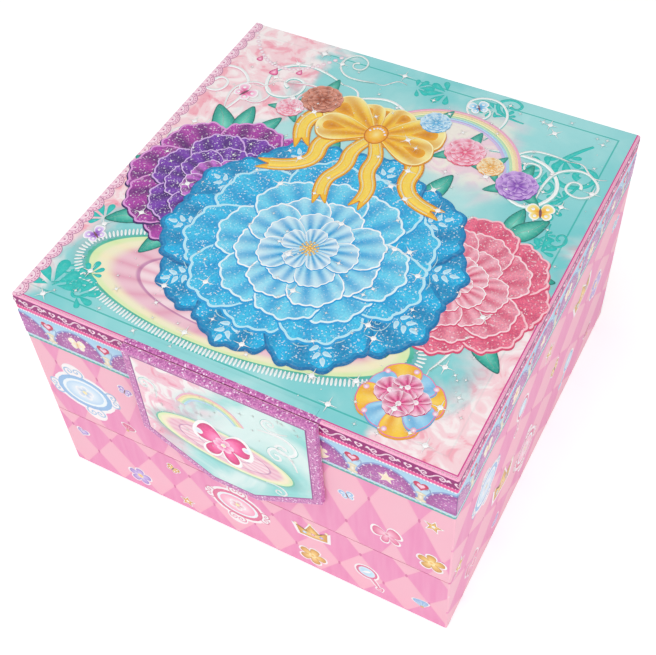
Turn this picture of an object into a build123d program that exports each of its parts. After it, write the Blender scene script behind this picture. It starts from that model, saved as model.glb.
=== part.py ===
from build123d import *
from math import asin, cos, pi, radians, sin
import os

# Ballerina jewellery box: a board box with a hinged lid and flap, a drawer, a tray and a musical movement.
# Millimetres. The origin is the centre of the base's underside, +Z is up and the drawer opens towards -Y.

os.makedirs("parts", exist_ok=True)

# ---------------------------------------------------------------- driving sizes
# The case and its boards
box_width = 160.0
box_depth = 160.0
box_height = 100.0
board = 4.0
edge_round = 0.7
lid_height = 22.0
base_thickness = 3.0
inner_board = 3.0
drawer_front_height = 34.5
drawer_seam = 0.5

# The drawer
drawer_board = 3.0
drawer_floor = 2.0
drawer_rear_gap = 4.0
drawer_side_gap = 1.0
drawer_lift = 0.4
drawer_head_room = 2.2

# The tray and the stage
stage_front = 6.0
stage_below_seam = 8.0
divider_offset = 37.0
divider_thickness = 2.5
divider_below_seam = 10.0
lining = 0.8
lining_gap = 0.3
roll_count = 6
roll_height = 17.0

# The lid
lid_card = 1.0
mirror_width = 88.0
mirror_straight = 46.0
mirror_thickness = 1.5
mirror_centre_y = -6.4
mirror_corner = 5.0

# The flap and its closure
flap_width = 70.0
flap_point = 17.0
flap_tip_above_drawer = 3.6
flap_tip_width = 18.5
flap_thickness = 2.5
flap_gap = 0.3
flap_drop = 0.4
strip_width = 66.0
strip_reach = 3.5
strip_thickness = 0.3
magnet_radius = 5.0
magnet_thickness = 1.5
catch_radius = 6.0
catch_thickness = 1.0
catch_above_tip = 8.0

# The lid's two hinges
hinge_offset = 50.0
hinge_width = 22.0
hinge_leaf = 0.6
hinge_leaf_height = 9.5
hinge_pin_radius = 0.6
hinge_knuckle_radius = 1.3
hinge_knuckle_length = 7.0
hinge_axis_out = 1.5
hinge_screw_spacing = 13.0
hinge_screw_radius = 0.6
hinge_screw_head = 1.4
hinge_screw_head_height = 0.6
hinge_screw_length = 3.0
knuckle_sides = 12
screw_sides = 8

# Fits shared by the running parts
running_fit = 0.05
joint_gap = 0.2
spindle_bush_wall = 1.4
wire_bush_wall = 1.0

# The musical movement
spindle_y = 22.0
barrel_z = 22.0
leaf_module = 0.7
pinion_overhang = 0.6
crown_teeth = 36
pinion_leaves = 12
wheel_module = 0.5
wheel_thickness = 1.4
wheel_above_barrel = 1.0
wheel_teeth = 40
fly_leaves = 10
fly_arbor_radius = 0.8
fly_socket = 5.0
fly_end_play = 0.5
fly_shoulder = 0.1
mesh_gap = 0.1
barrel_radius = 14.0
barrel_length = 8.0
barrel_end_play = 1.0
barrel_edge = 1.0
crown_tooth_length = 1.6
arbor_radius = 2.0
arbor_pivot_radius = 1.2
plate_thickness = 2.0
plate_below_stage = 5.5
plate_bottom = 8.0
plate_left = -28.0
plate_right = 34.0
plate_margin = 3.5
plate_corner = 3.0
block_width = 7.0
bridge_half_width = 21.0
bridge_drop = 11.0
bridge_corner = 2.0
lug_thickness = 2.4
lug_half = 3.6
lug_rim = 1.2
post_radius = 2.5
post_offset = 17.5
post_drop = 6.0
spindle_radius = 1.0
cylinder_radius = 6.5
cylinder_above_barrel = 18.0
cylinder_below_stage = 7.9
tracks = 18
pin_height = 0.5
pin_width = 0.35
pins_per_track = 2
tooth_gap = 0.15
comb_thickness = 1.0
comb_slot = 0.3
comb_long_tooth = 13.0
comb_short_tooth = 9.0
comb_heel = 7.0
governor_width = 12.6
governor_front = 15.0
governor_gap = 1.2
governor_head_back = 6.0
governor_edge = 1.0
vent_share = 0.4
vent_depth = 1.0
vent_margin = 2.25
vent_rows = 3
ear_height = 5.0
governor_above_barrel = 17.8
governor_below_stage = 10.0
machine_screw_radius = 1.0
machine_screw_head = 1.9
machine_screw_head_height = 1.1

# The key
key_shaft_out = 6.0
key_hub_radius = 3.2
key_hub_length = 8.0
key_wing_reach = 11.0
key_wing_thickness = 1.6
key_wing_hole = 2.2
key_wing_half_height = 4.6
key_wing_rise = 3.6
key_wing_tilt = 24
key_slot_depth = 3.0
key_hole_radius = 2.9
eyelet_flange = 1.6

# The turntable and its folding foot
turntable_radius = 8.0
turntable_thickness = 1.8
post_flare = 0.6
fold_axis_above_stage = 12.2
fold_pin_radius = 0.8
ear_thickness = 1.2
ear_radius = 1.9
tongue_width = 2.8
spring_wire = 0.25
spring_radius = 1.7
spring_pitch = 1.0
spring_turns = 3.25
spring_leg = 4.0

# The doll, measured along its own axis from the fold pin
doll_height = 45.0
tutu_radius = 10.4
tutu_level = 21.5
tutu_thickness = 1.9
tutu_rim = 0.9
tutu_pleats = 16
tutu_shoulder = 6.8
tutu_layers = 3

# The wire that stops the music when the lid is shut
wire_radius = 0.8
wire_bend = 1.5
wire_x = -40.0
wire_y = 60.0
wire_arm_below_stage = 4.1
wire_travel = 2.6
wire_dip = 1.5
wire_tip_inset = 4.0
wire_socket_clearance = 1.0

# ---------------------------------------------------------------- shared places
half_width = box_width / 2
half_depth = box_depth / 2
inside_x = half_width - board
inside_front = -half_depth + board
inside_back = half_depth - board
rim_z = box_height - lid_height
lid_ceiling = box_height - board - lid_card
drawer_top = drawer_seam + drawer_front_height
deck_bottom = drawer_top + drawer_seam
deck_top = deck_bottom + inner_board
stage_back_of_partition = stage_front + inner_board
stage_top = rim_z - stage_below_seam
stage_bottom = stage_top - inner_board
divider_top = rim_z - divider_below_seam
plate_top = stage_bottom - plate_below_stage
cylinder_bottom = barrel_z + cylinder_above_barrel
cylinder_top = stage_bottom - cylinder_below_stage
track_pitch = (cylinder_top - cylinder_bottom) / tracks
governor_bottom = barrel_z + governor_above_barrel
governor_top = stage_bottom - governor_below_stage
wire_arm_z = stage_bottom - wire_arm_below_stage
fold_axis_z = stage_top + fold_axis_above_stage
flap_top = box_height - flap_drop
flap_tip_z = drawer_top + flap_tip_above_drawer
flap_length = flap_top - flap_tip_z
flap_straight = flap_length - flap_point
catch_z = flap_tip_z + catch_above_tip


def panel(x_span, y_span, z_span):
    """A flat board between two corners, added to the part block that calls it."""
    spans = (x_span, y_span, z_span)
    centre = tuple((low + high) / 2 for low, high in spans)
    with Locations(centre):
        Box(*(high - low for low, high in spans))


def facing(y, towards=-1):
    """An upright plane at a distance along Y; its X runs along the world's X."""
    return Plane(origin=(0, y, 0), x_dir=(1, 0, 0), z_dir=(0, towards, 0))


def screw(seat, head_radius, head_height, shank_radius, shank_length):
    """A screw whose head stands on the seat plane; its round forms have few sides, to keep the model light."""
    with BuildPart() as one_screw:
        with BuildSketch(seat):
            RegularPolygon(head_radius, screw_sides)
        extrude(amount=head_height)
        with BuildSketch(seat):
            RegularPolygon(shank_radius, screw_sides)
        extrude(amount=-shank_length)
    return one_screw.part


# ---------------------------------------------------------------- the case's boards
# Grey board, cut square and butt-glued, then covered in printed paper that wraps every outer edge.
with BuildPart() as base_board:
    panel((-inside_x, inside_x), (inside_front, inside_back), (0, base_thickness))
    fillet(base_board.edges().filter_by(Axis.Y).group_by(Axis.Z)[0], edge_round)
base_board.part.label = "base_board"
export_step(base_board.part, "parts/base_board.step")

with BuildPart() as left_wall:
    panel((-half_width, -inside_x), (inside_front, inside_back), (0, rim_z))
    fillet(left_wall.edges().filter_by(Axis.Y).group_by(Axis.X)[0], edge_round)
left_wall.part.label = "left_wall"
export_step(left_wall.part, "parts/left_wall.step")

with BuildPart() as right_wall:
    panel((inside_x, half_width), (inside_front, inside_back), (0, rim_z))
    fillet(right_wall.edges().filter_by(Axis.Y).group_by(Axis.X)[-1], edge_round)
right_wall.part.label = "right_wall"
export_step(right_wall.part, "parts/right_wall.step")

# The back wall carries the key's eyelet hole and the screw holes of the hinges.
hinge_axis_y = half_depth + hinge_axis_out
hinge_centres = (-hinge_offset, hinge_offset)
case_screw_z = rim_z - hinge_leaf_height / 2 - hinge_knuckle_radius
lid_screw_z = rim_z + hinge_leaf_height / 2 + hinge_knuckle_radius
screw_xs = [centre + side * hinge_screw_spacing / 2 for centre in hinge_centres for side in (-1, 1)]
with BuildPart() as back_wall:
    panel((-half_width, half_width), (inside_back, half_depth), (0, rim_z))
    fillet(back_wall.edges().filter_by(Axis.Z).group_by(Axis.Y)[-1], edge_round)
    with BuildSketch(facing(half_depth)):
        with Locations((0, barrel_z)):
            Circle(key_hole_radius + running_fit)
        with Locations(*[(x, case_screw_z) for x in screw_xs]):
            RegularPolygon(hinge_screw_radius + running_fit, screw_sides)
    extrude(amount=board, mode=Mode.SUBTRACT)
back_wall.part.label = "back_wall"
export_step(back_wall.part, "parts/back_wall.step")

# The fixed front, above the drawer, with a shallow seat for the steel catch of the flap.
with BuildPart() as front_wall:
    panel((-half_width, half_width), (-half_depth, inside_front), (deck_bottom, rim_z))
    fillet(front_wall.edges().filter_by(Axis.Z).group_by(Axis.Y)[0], edge_round)
    with BuildSketch(facing(-half_depth, 1)):
        with Locations((0, -catch_z)):
            Circle(catch_radius + running_fit)
    extrude(amount=catch_thickness, mode=Mode.SUBTRACT)
front_wall.part.label = "front_wall"
export_step(front_wall.part, "parts/front_wall.step")

with BuildPart() as catch_plate:
    with BuildSketch(facing(-half_depth, 1)):
        with Locations((0, -catch_z)):
            Circle(catch_radius)
    extrude(amount=catch_thickness)
catch_plate.part.label = "catch_plate"
export_step(catch_plate.part, "parts/catch_plate.step")

# The deck is the tray's floor and the drawer's ceiling; the partition closes off the movement.
with BuildPart() as deck_board:
    panel((-inside_x, inside_x), (inside_front, stage_front), (deck_bottom, deck_top))
deck_board.part.label = "deck_board"
export_step(deck_board.part, "parts/deck_board.step")

with BuildPart() as partition_board:
    panel((-inside_x, inside_x), (stage_front, stage_back_of_partition), (base_thickness, stage_bottom))
partition_board.part.label = "partition_board"
export_step(partition_board.part, "parts/partition_board.step")

# The stage covers the movement, with a bushed hole for the spindle and one for the stop wire.
spindle_bush_radius = spindle_radius + spindle_bush_wall
wire_bush_radius = wire_radius + wire_bush_wall
with BuildPart() as stage_board:
    panel((-inside_x, inside_x), (stage_front, inside_back), (stage_bottom, stage_top))
    with BuildSketch(Plane.XY.offset(stage_bottom)):
        with Locations((0, spindle_y)):
            Circle(spindle_bush_radius + running_fit)
        with Locations((wire_x, wire_y)):
            Circle(wire_bush_radius + running_fit)
    extrude(amount=inner_board, mode=Mode.SUBTRACT)
    fillet(stage_board.edges().filter_by(Axis.X).group_by(Axis.Y)[0].group_by(Axis.Z)[-1], edge_round)
stage_board.part.label = "stage_board"
export_step(stage_board.part, "parts/stage_board.step")

with BuildPart() as tray_dividers:
    for side in (-1, 1):
        inner = side * divider_offset
        outer = side * (divider_offset + divider_thickness)
        panel(sorted((inner, outer)), (inside_front, stage_front), (deck_top, divider_top))
    fillet(tray_dividers.edges().filter_by(Axis.Y).group_by(Axis.Z)[-1], edge_round)
tray_dividers.part.label = "tray_dividers"
export_step(tray_dividers.part, "parts/tray_dividers.step")

# ---------------------------------------------------------------- linings
# Card pads covered in velvet paper, laid loose in the compartments, on the stage and in the drawer.
tray_inner_edge = divider_offset + divider_thickness + lining_gap
with BuildPart() as tray_linings:
    for side in (-1, 1):
        x_span = sorted((side * tray_inner_edge, side * (inside_x - lining_gap)))
        panel(x_span, (inside_front + lining_gap, stage_front - lining_gap), (deck_top, deck_top + lining))
tray_linings.part.label = "tray_linings"
export_step(tray_linings.part, "parts/tray_linings.step")

with BuildPart() as stage_lining:
    panel((-inside_x + lining_gap, inside_x - lining_gap),
          (stage_front + edge_round, inside_back - lining_gap),
          (stage_top, stage_top + lining))
    with BuildSketch(Plane.XY.offset(stage_top)):
        with Locations((0, spindle_y)):
            Circle(spindle_bush_radius + 2 * running_fit)
        with Locations((wire_x, wire_y)):
            Circle(wire_bush_radius + 2 * running_fit)
    extrude(amount=lining, mode=Mode.SUBTRACT)
stage_lining.part.label = "stage_lining"
export_step(stage_lining.part, "parts/stage_lining.step")

# The ring rolls: foam sausages in velvet, side by side between the dividers; rings push in between them.
roll_pitch = (stage_front - inside_front) / roll_count
roll_radius = roll_pitch / 2 - lining_gap / 2
roll_length = 2 * (divider_offset - lining_gap)
with BuildPart() as ring_rolls:
    for index in range(roll_count):
        centre_y = inside_front + (index + 0.5) * roll_pitch
        with BuildSketch(Plane.YZ.offset(-roll_length / 2)):
            with BuildLine():
                shoulder = deck_top + roll_height - roll_radius
                left_side = Line((centre_y - roll_radius, deck_top), (centre_y - roll_radius, shoulder))
                crown = ThreePointArc(left_side @ 1, (centre_y, shoulder + roll_radius),
                                      (centre_y + roll_radius, shoulder))
                right_side = Line(crown @ 1, (centre_y + roll_radius, deck_top))
                Line(right_side @ 1, left_side @ 0)
            make_face()
        extrude(amount=roll_length)
ring_rolls.part.label = "ring_rolls"
export_step(ring_rolls.part, "parts/ring_rolls.step")

# ---------------------------------------------------------------- bushes, eyelet and case hinge leaves
# Turned brass: a collar pressed into each hole of the stage, and an eyelet round the key's shaft.
with BuildPart() as spindle_bush:
    with BuildSketch(Plane.XY.offset(stage_bottom)):
        with Locations((0, spindle_y)):
            Circle(spindle_bush_radius)
            Circle(spindle_radius + running_fit, mode=Mode.SUBTRACT)
    extrude(amount=inner_board + lining)
spindle_bush.part.label = "spindle_bush"
export_step(spindle_bush.part, "parts/spindle_bush.step")

wire_bush_bottom = wire_arm_z + wire_bend + wire_travel + joint_gap
with BuildPart() as wire_bush:
    with BuildSketch(Plane.XY.offset(wire_bush_bottom)):
        with Locations((wire_x, wire_y)):
            Circle(wire_bush_radius)
            Circle(wire_radius + running_fit, mode=Mode.SUBTRACT)
    extrude(amount=stage_top + lining + joint_gap - wire_bush_bottom)
wire_bush.part.label = "wire_bush"
export_step(wire_bush.part, "parts/wire_bush.step")

with BuildPart() as key_eyelet:
    with BuildSketch(facing(inside_back, 1)):
        with Locations((0, -barrel_z)):
            Circle(key_hole_radius)
    extrude(amount=board)
    with BuildSketch(facing(half_depth, 1)):
        with Locations((0, -barrel_z)):
            Circle(key_hole_radius + eyelet_flange)
    extrude(amount=hinge_leaf)
    with BuildSketch(facing(inside_back, 1)):
        with Locations((0, -barrel_z)):
            Circle(arbor_radius + running_fit)
    extrude(amount=board + hinge_leaf, mode=Mode.SUBTRACT)
key_eyelet.part.label = "key_eyelet"
export_step(key_eyelet.part, "parts/key_eyelet.step")


def leaf(centre_x, upwards, knuckle_spans, notch_spans):
    """One pressed brass hinge leaf, up or down from the lid's seam, with its rolled knuckles."""
    near = rim_z + upwards * drawer_seam
    far = rim_z + upwards * (hinge_leaf_height + drawer_seam)
    notch_far = rim_z + upwards * (hinge_knuckle_radius + joint_gap)
    screw_z = rim_z + upwards * (hinge_leaf_height / 2 + hinge_knuckle_radius)
    with BuildPart() as one_leaf:
        panel((centre_x - hinge_width / 2, centre_x + hinge_width / 2),
              (half_depth, half_depth + hinge_leaf), sorted((near, far)))
        for low, high in notch_spans:
            with Locations((centre_x + (low + high) / 2, half_depth + hinge_leaf / 2, (near + notch_far) / 2)):
                Box(high - low, 2 * hinge_leaf, abs(notch_far - near), mode=Mode.SUBTRACT)
        for low, high in knuckle_spans:
            with BuildSketch(Plane.YZ.offset(centre_x + low)):
                with Locations((hinge_axis_y, rim_z)):
                    RegularPolygon(hinge_knuckle_radius, knuckle_sides)
            extrude(amount=high - low)
        with BuildSketch(Plane.YZ.offset(centre_x - hinge_width / 2)):
            with Locations((hinge_axis_y, rim_z)):
                RegularPolygon(hinge_pin_radius + running_fit, knuckle_sides, major_radius=False)
        extrude(amount=hinge_width, mode=Mode.SUBTRACT)
        with BuildSketch(facing(half_depth, 1)):
            with Locations(*[(centre_x + side * hinge_screw_spacing / 2, -screw_z) for side in (-1, 1)]):
                RegularPolygon(hinge_screw_radius + running_fit, screw_sides)
        extrude(amount=2 * hinge_leaf, mode=Mode.SUBTRACT)
    return one_leaf.part


def hinge_screws(z):
    """The screws of one row, through the leaves and into the board behind them."""
    return [screw(Plane(origin=(x, half_depth + hinge_leaf, z), x_dir=(1, 0, 0), z_dir=(0, 1, 0)),
                  hinge_screw_head, hinge_screw_head_height, hinge_screw_radius, hinge_screw_length)
            for x in screw_xs]


half_middle = hinge_knuckle_length / 2
half_hinge = hinge_width / 2
middle_span = (-half_middle + joint_gap / 2, half_middle - joint_gap / 2)
outer_spans = ((-half_hinge, -half_middle - joint_gap / 2), (half_middle + joint_gap / 2, half_hinge))
middle_notch = ((-half_middle - joint_gap / 2, half_middle + joint_gap / 2),)
outer_notches = ((-half_hinge, -half_middle + joint_gap / 2), (half_middle - joint_gap / 2, half_hinge))

with BuildPart() as case_hinge_leaves:
    for centre_x in hinge_centres:
        add(leaf(centre_x, -1, outer_spans, middle_notch))
case_hinge_leaves.part.label = "case_hinge_leaves"
export_step(case_hinge_leaves.part, "parts/case_hinge_leaves.step")

with BuildPart() as case_hinge_screws:
    add(hinge_screws(case_screw_z))
case_hinge_screws.part.label = "case_hinge_screws"
export_step(case_hinge_screws.part, "parts/case_hinge_screws.step")

# ---------------------------------------------------------------- the lid
# A top board on four rims, hollow below, so that the folded doll lies inside it.
with BuildPart() as lid_top_board:
    panel((-half_width, half_width), (-half_depth, half_depth), (box_height - board, box_height))
    fillet(lid_top_board.edges().filter_by(Axis.Z), edge_round)
    fillet(lid_top_board.edges().group_by(Axis.Z)[-1], edge_round)
lid_top_board.part.label = "lid_top_board"
export_step(lid_top_board.part, "parts/lid_top_board.step")

lid_rim_top = box_height - board
with BuildPart() as lid_front_rim:
    panel((-half_width, half_width), (-half_depth, inside_front), (rim_z, lid_rim_top))
    fillet(lid_front_rim.edges().filter_by(Axis.Z).group_by(Axis.Y)[0], edge_round)
lid_front_rim.part.label = "lid_front_rim"
export_step(lid_front_rim.part, "parts/lid_front_rim.step")

with BuildPart() as lid_back_rim:
    panel((-half_width, half_width), (inside_back, half_depth), (rim_z, lid_rim_top))
    fillet(lid_back_rim.edges().filter_by(Axis.Z).group_by(Axis.Y)[-1], edge_round)
    with BuildSketch(facing(half_depth)):
        with Locations(*[(x, lid_screw_z) for x in screw_xs]):
            RegularPolygon(hinge_screw_radius + running_fit, screw_sides)
    extrude(amount=board, mode=Mode.SUBTRACT)
lid_back_rim.part.label = "lid_back_rim"
export_step(lid_back_rim.part, "parts/lid_back_rim.step")

with BuildPart() as lid_left_rim:
    panel((-half_width, -inside_x), (inside_front, inside_back), (rim_z, lid_rim_top))
lid_left_rim.part.label = "lid_left_rim"
export_step(lid_left_rim.part, "parts/lid_left_rim.step")

with BuildPart() as lid_right_rim:
    panel((inside_x, half_width), (inside_front, inside_back), (rim_z, lid_rim_top))
lid_right_rim.part.label = "lid_right_rim"
export_step(lid_right_rim.part, "parts/lid_right_rim.step")

with BuildPart() as lid_card_lining:
    panel((-inside_x + lining_gap, inside_x - lining_gap),
          (inside_front + lining_gap, inside_back - lining_gap),
          (lid_ceiling, lid_ceiling + lid_card))
lid_card_lining.part.label = "lid_card_lining"
export_step(lid_card_lining.part, "parts/lid_card_lining.step")

# The mirror has a straight-sided foot near the hinges and a round arch, and is glued to the lid's card.
mirror_spring_y = mirror_centre_y - mirror_straight / 2
with BuildPart() as mirror:
    with BuildSketch(Plane.XY.offset(lid_ceiling - mirror_thickness)):
        with Locations((0, mirror_centre_y)):
            RectangleRounded(mirror_width, mirror_straight, mirror_corner)
        with Locations((0, mirror_spring_y)):
            Ellipse(mirror_width / 2, mirror_straight * 0.6)
        with Locations((0, mirror_spring_y + mirror_corner / 2)):
            Rectangle(mirror_width, mirror_corner)
    extrude(amount=mirror_thickness)
mirror.part.label = "mirror"
export_step(mirror.part, "parts/mirror.step")

with BuildPart() as lid_hinge_leaves:
    for centre_x in hinge_centres:
        add(leaf(centre_x, 1, (middle_span,), outer_notches))
lid_hinge_leaves.part.label = "lid_hinge_leaves"
export_step(lid_hinge_leaves.part, "parts/lid_hinge_leaves.step")

with BuildPart() as lid_hinge_screws:
    add(hinge_screws(lid_screw_z))
lid_hinge_screws.part.label = "lid_hinge_screws"
export_step(lid_hinge_screws.part, "parts/lid_hinge_screws.step")

with BuildPart() as hinge_pins:
    for centre_x in hinge_centres:
        with BuildSketch(Plane.YZ.offset(centre_x - half_hinge)):
            with Locations((hinge_axis_y, rim_z)):
                Circle(hinge_pin_radius)
        extrude(amount=hinge_width)
hinge_pins.part.label = "hinge_pins"
export_step(hinge_pins.part, "parts/hinge_pins.step")

# ---------------------------------------------------------------- the closing flap
# Board in glitter-edged paper. Its paper runs on over the lid's edge and is its hinge.
with BuildPart() as flap_hinge_strip:
    panel((-strip_width / 2, strip_width / 2),
          (-half_depth + edge_round, -half_depth + edge_round + strip_reach),
          (box_height, box_height + strip_thickness))
flap_hinge_strip.part.label = "flap_hinge_strip"
export_step(flap_hinge_strip.part, "parts/flap_hinge_strip.step")

flap_inner_y = -half_depth - flap_gap
with BuildPart() as closure_flap:
    with BuildSketch(Plane(origin=(0, flap_inner_y, flap_top), x_dir=(1, 0, 0), z_dir=(0, -1, 0))):
        with BuildLine():
            Polyline((-flap_width / 2, 0), (-flap_width / 2, -flap_straight),
                     (-flap_tip_width / 2, -flap_length), (flap_tip_width / 2, -flap_length),
                     (flap_width / 2, -flap_straight), (flap_width / 2, 0), close=True)
        make_face()
    extrude(amount=flap_thickness)
    outer_face = closure_flap.faces().sort_by(Axis.Y)[0]
    fillet(outer_face.edges(), edge_round)
    with BuildSketch(facing(flap_inner_y)):
        with Locations((0, catch_z)):
            Circle(magnet_radius + running_fit)
    extrude(amount=magnet_thickness, mode=Mode.SUBTRACT)
closure_flap.part.label = "closure_flap"
export_step(closure_flap.part, "parts/closure_flap.step")

with BuildPart() as flap_magnet:
    with BuildSketch(facing(flap_inner_y)):
        with Locations((0, catch_z)):
            Circle(magnet_radius)
    extrude(amount=magnet_thickness)
flap_magnet.part.label = "flap_magnet"
export_step(flap_magnet.part, "parts/flap_magnet.step")

# ---------------------------------------------------------------- the drawer
drawer_side_x = inside_x - drawer_side_gap
drawer_inner_x = drawer_side_x - drawer_board
drawer_bottom_z = base_thickness + drawer_lift
drawer_rim_z = deck_bottom - drawer_head_room
drawer_back_y = stage_front - drawer_rear_gap
with BuildPart() as drawer_front:
    panel((-half_width, half_width), (-half_depth, inside_front), (drawer_seam, drawer_top))
    fillet(drawer_front.edges().filter_by(Axis.Z).group_by(Axis.Y)[0], edge_round)
drawer_front.part.label = "drawer_front"
export_step(drawer_front.part, "parts/drawer_front.step")

with BuildPart() as drawer_left_side:
    panel((-drawer_side_x, -drawer_inner_x), (inside_front, drawer_back_y), (drawer_bottom_z, drawer_rim_z))
    fillet(drawer_left_side.edges().filter_by(Axis.Y).group_by(Axis.Z)[-1], edge_round)
drawer_left_side.part.label = "drawer_left_side"
export_step(drawer_left_side.part, "parts/drawer_left_side.step")

with BuildPart() as drawer_right_side:
    panel((drawer_inner_x, drawer_side_x), (inside_front, drawer_back_y), (drawer_bottom_z, drawer_rim_z))
    fillet(drawer_right_side.edges().filter_by(Axis.Y).group_by(Axis.Z)[-1], edge_round)
drawer_right_side.part.label = "drawer_right_side"
export_step(drawer_right_side.part, "parts/drawer_right_side.step")

with BuildPart() as drawer_back:
    panel((-drawer_inner_x, drawer_inner_x), (drawer_back_y - drawer_board, drawer_back_y),
          (drawer_bottom_z, drawer_rim_z))
    fillet(drawer_back.edges().filter_by(Axis.X).group_by(Axis.Z)[-1], edge_round)
drawer_back.part.label = "drawer_back"
export_step(drawer_back.part, "parts/drawer_back.step")

with BuildPart() as drawer_bottom:
    panel((-drawer_inner_x, drawer_inner_x), (inside_front, drawer_back_y - drawer_board),
          (drawer_bottom_z, drawer_bottom_z + drawer_floor))
drawer_bottom.part.label = "drawer_bottom"
export_step(drawer_bottom.part, "parts/drawer_bottom.step")

with BuildPart() as drawer_lining:
    panel((-drawer_inner_x + lining_gap, drawer_inner_x - lining_gap),
          (inside_front + lining_gap, drawer_back_y - drawer_board - lining_gap),
          (drawer_bottom_z + drawer_floor, drawer_bottom_z + drawer_floor + lining))
drawer_lining.part.label = "drawer_lining"
export_step(drawer_lining.part, "parts/drawer_lining.step")

# ---------------------------------------------------------------- the movement: spring barrel
# A wind-up spring barrel lies across the box. Crown teeth on its rim turn the upright cylinder.
crown_pitch_radius = leaf_module * crown_teeth / 2
pinion_pitch_radius = leaf_module * pinion_leaves / 2
leaf_addendum = 0.85 * leaf_module
leaf_dedendum = 1.15 * leaf_module
crown_pitch_y = spindle_y + pinion_pitch_radius
crown_root_y = crown_pitch_y + leaf_dedendum
crown_tooth_height = leaf_addendum + leaf_dedendum
crown_tooth_root = 0.46 * pi * leaf_module
crown_tooth_tip = 0.2 * pi * leaf_module
plate_front_y = crown_root_y + barrel_length + barrel_end_play
with BuildPart() as spring_barrel:
    with BuildSketch(facing(crown_root_y, 1)):
        with Locations((0, -barrel_z)):
            Circle(barrel_radius)
    extrude(amount=barrel_length)
    chamfer(spring_barrel.edges().filter_by(GeomType.CIRCLE).group_by(Axis.Y)[-1], barrel_edge)
    barrel_face = Plane(origin=(0, crown_root_y, barrel_z), x_dir=(1, 0, 0), z_dir=(0, -1, 0))
    with Locations(barrel_face):
        with PolarLocations(crown_pitch_radius, crown_teeth, start_angle=90 + 180 / crown_teeth):
            Wedge(crown_tooth_length, crown_tooth_height, crown_tooth_root,
                  0, (crown_tooth_root - crown_tooth_tip) / 2,
                  crown_tooth_length, (crown_tooth_root + crown_tooth_tip) / 2,
                  rotation=(90, 0, 0), align=(Align.CENTER, Align.MIN, Align.CENTER))
    with BuildSketch(barrel_face):
        Circle(arbor_radius + running_fit)
    extrude(amount=-barrel_length, mode=Mode.SUBTRACT)
spring_barrel.part.label = "spring_barrel"
export_step(spring_barrel.part, "parts/spring_barrel.step")

# The bridge carries the barrel's front pivot, and a lug on its top edge is the cylinder's footstep.
bridge_front_y = spindle_y - plate_thickness
lug_top = barrel_z + crown_pitch_radius - 2 * crown_tooth_length
lug_bottom = lug_top - lug_thickness
bridge_bottom = barrel_z - bridge_drop
with BuildPart() as barrel_bridge:
    with BuildSketch(Plane(origin=(0, bridge_front_y, barrel_z), x_dir=(1, 0, 0), z_dir=(0, -1, 0))):
        with BuildLine():
            Polyline((-bridge_half_width, bridge_bottom - barrel_z),
                     (bridge_half_width, bridge_bottom - barrel_z),
                     (bridge_half_width, 0), (lug_half, lug_top - barrel_z),
                     (-lug_half, lug_top - barrel_z), (-bridge_half_width, 0), close=True)
        make_face()
        Circle(arbor_pivot_radius + running_fit, mode=Mode.SUBTRACT)
    extrude(amount=-plate_thickness)
    fillet(barrel_bridge.edges().filter_by(Axis.Y).group_by(Axis.Z)[0], bridge_corner)
    panel((-lug_half, lug_half), (bridge_front_y, spindle_y + spindle_radius + lug_rim), (lug_bottom, lug_top))
    with BuildSketch(facing(bridge_front_y + plate_thickness, 1)):
        with Locations(*[(side * post_offset, post_drop - barrel_z) for side in (-1, 1)]):
            RegularPolygon(post_radius, 6)
    extrude(amount=plate_front_y - bridge_front_y - plate_thickness)
    with BuildSketch(Plane.XY.offset(lug_bottom)):
        with Locations((0, spindle_y)):
            Circle(spindle_radius + running_fit)
    extrude(amount=lug_top - lug_bottom, mode=Mode.SUBTRACT)
    with BuildSketch(facing(bridge_front_y, 1)):
        with Locations(*[(side * post_offset, post_drop - barrel_z) for side in (-1, 1)]):
            RegularPolygon(machine_screw_radius + running_fit, screw_sides)
    extrude(amount=plate_front_y - bridge_front_y, mode=Mode.SUBTRACT)
barrel_bridge.part.label = "barrel_bridge"
export_step(barrel_bridge.part, "parts/barrel_bridge.step")


def machine_screw(x, seat_y, z, length):
    """A cheese-head screw with its head towards -Y."""
    seat = Plane(origin=(x, seat_y, z), x_dir=(1, 0, 0), z_dir=(0, -1, 0))
    return screw(seat, machine_screw_head, machine_screw_head_height, machine_screw_radius, length)


with BuildPart() as bridge_screws:
    for side in (-1, 1):
        add(machine_screw(side * post_offset, bridge_front_y, barrel_z - post_drop,
                          plate_front_y - bridge_front_y))
bridge_screws.part.label = "bridge_screws"
export_step(bridge_screws.part, "parts/bridge_screws.step")

# ---------------------------------------------------------------- the movement: pinned cylinder and its wheel
leaf_root_width = 0.46 * pi * leaf_module
leaf_tip_width = 0.2 * pi * leaf_module
pinion_bottom = barrel_z + crown_pitch_radius - crown_tooth_length / 2 - pinion_overhang
pinion_length = crown_tooth_length + 2 * pinion_overhang
wheel_bottom = barrel_z + barrel_radius + wheel_above_barrel
wheel_pitch_radius = wheel_module * wheel_teeth / 2
fly_pitch_radius = wheel_module * fly_leaves / 2


def toothed_outline(teeth, module, addendum, dedendum, root_width, tip_width, first_angle):
    """The corners of a spur wheel's outline: straight-flanked teeth with flat roots between them."""
    root_radius = module * teeth / 2 - dedendum
    tip_radius = module * teeth / 2 + addendum
    corners = []
    for tooth in range(teeth):
        middle = radians(first_angle + tooth * 360 / teeth)
        for radius, half_width in ((root_radius, -root_width / 2), (tip_radius, -tip_width / 2),
                                   (tip_radius, tip_width / 2), (root_radius, root_width / 2)):
            angle = middle + asin(half_width / radius)
            corners.append((radius * cos(angle), radius * sin(angle)))
    return corners


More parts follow.
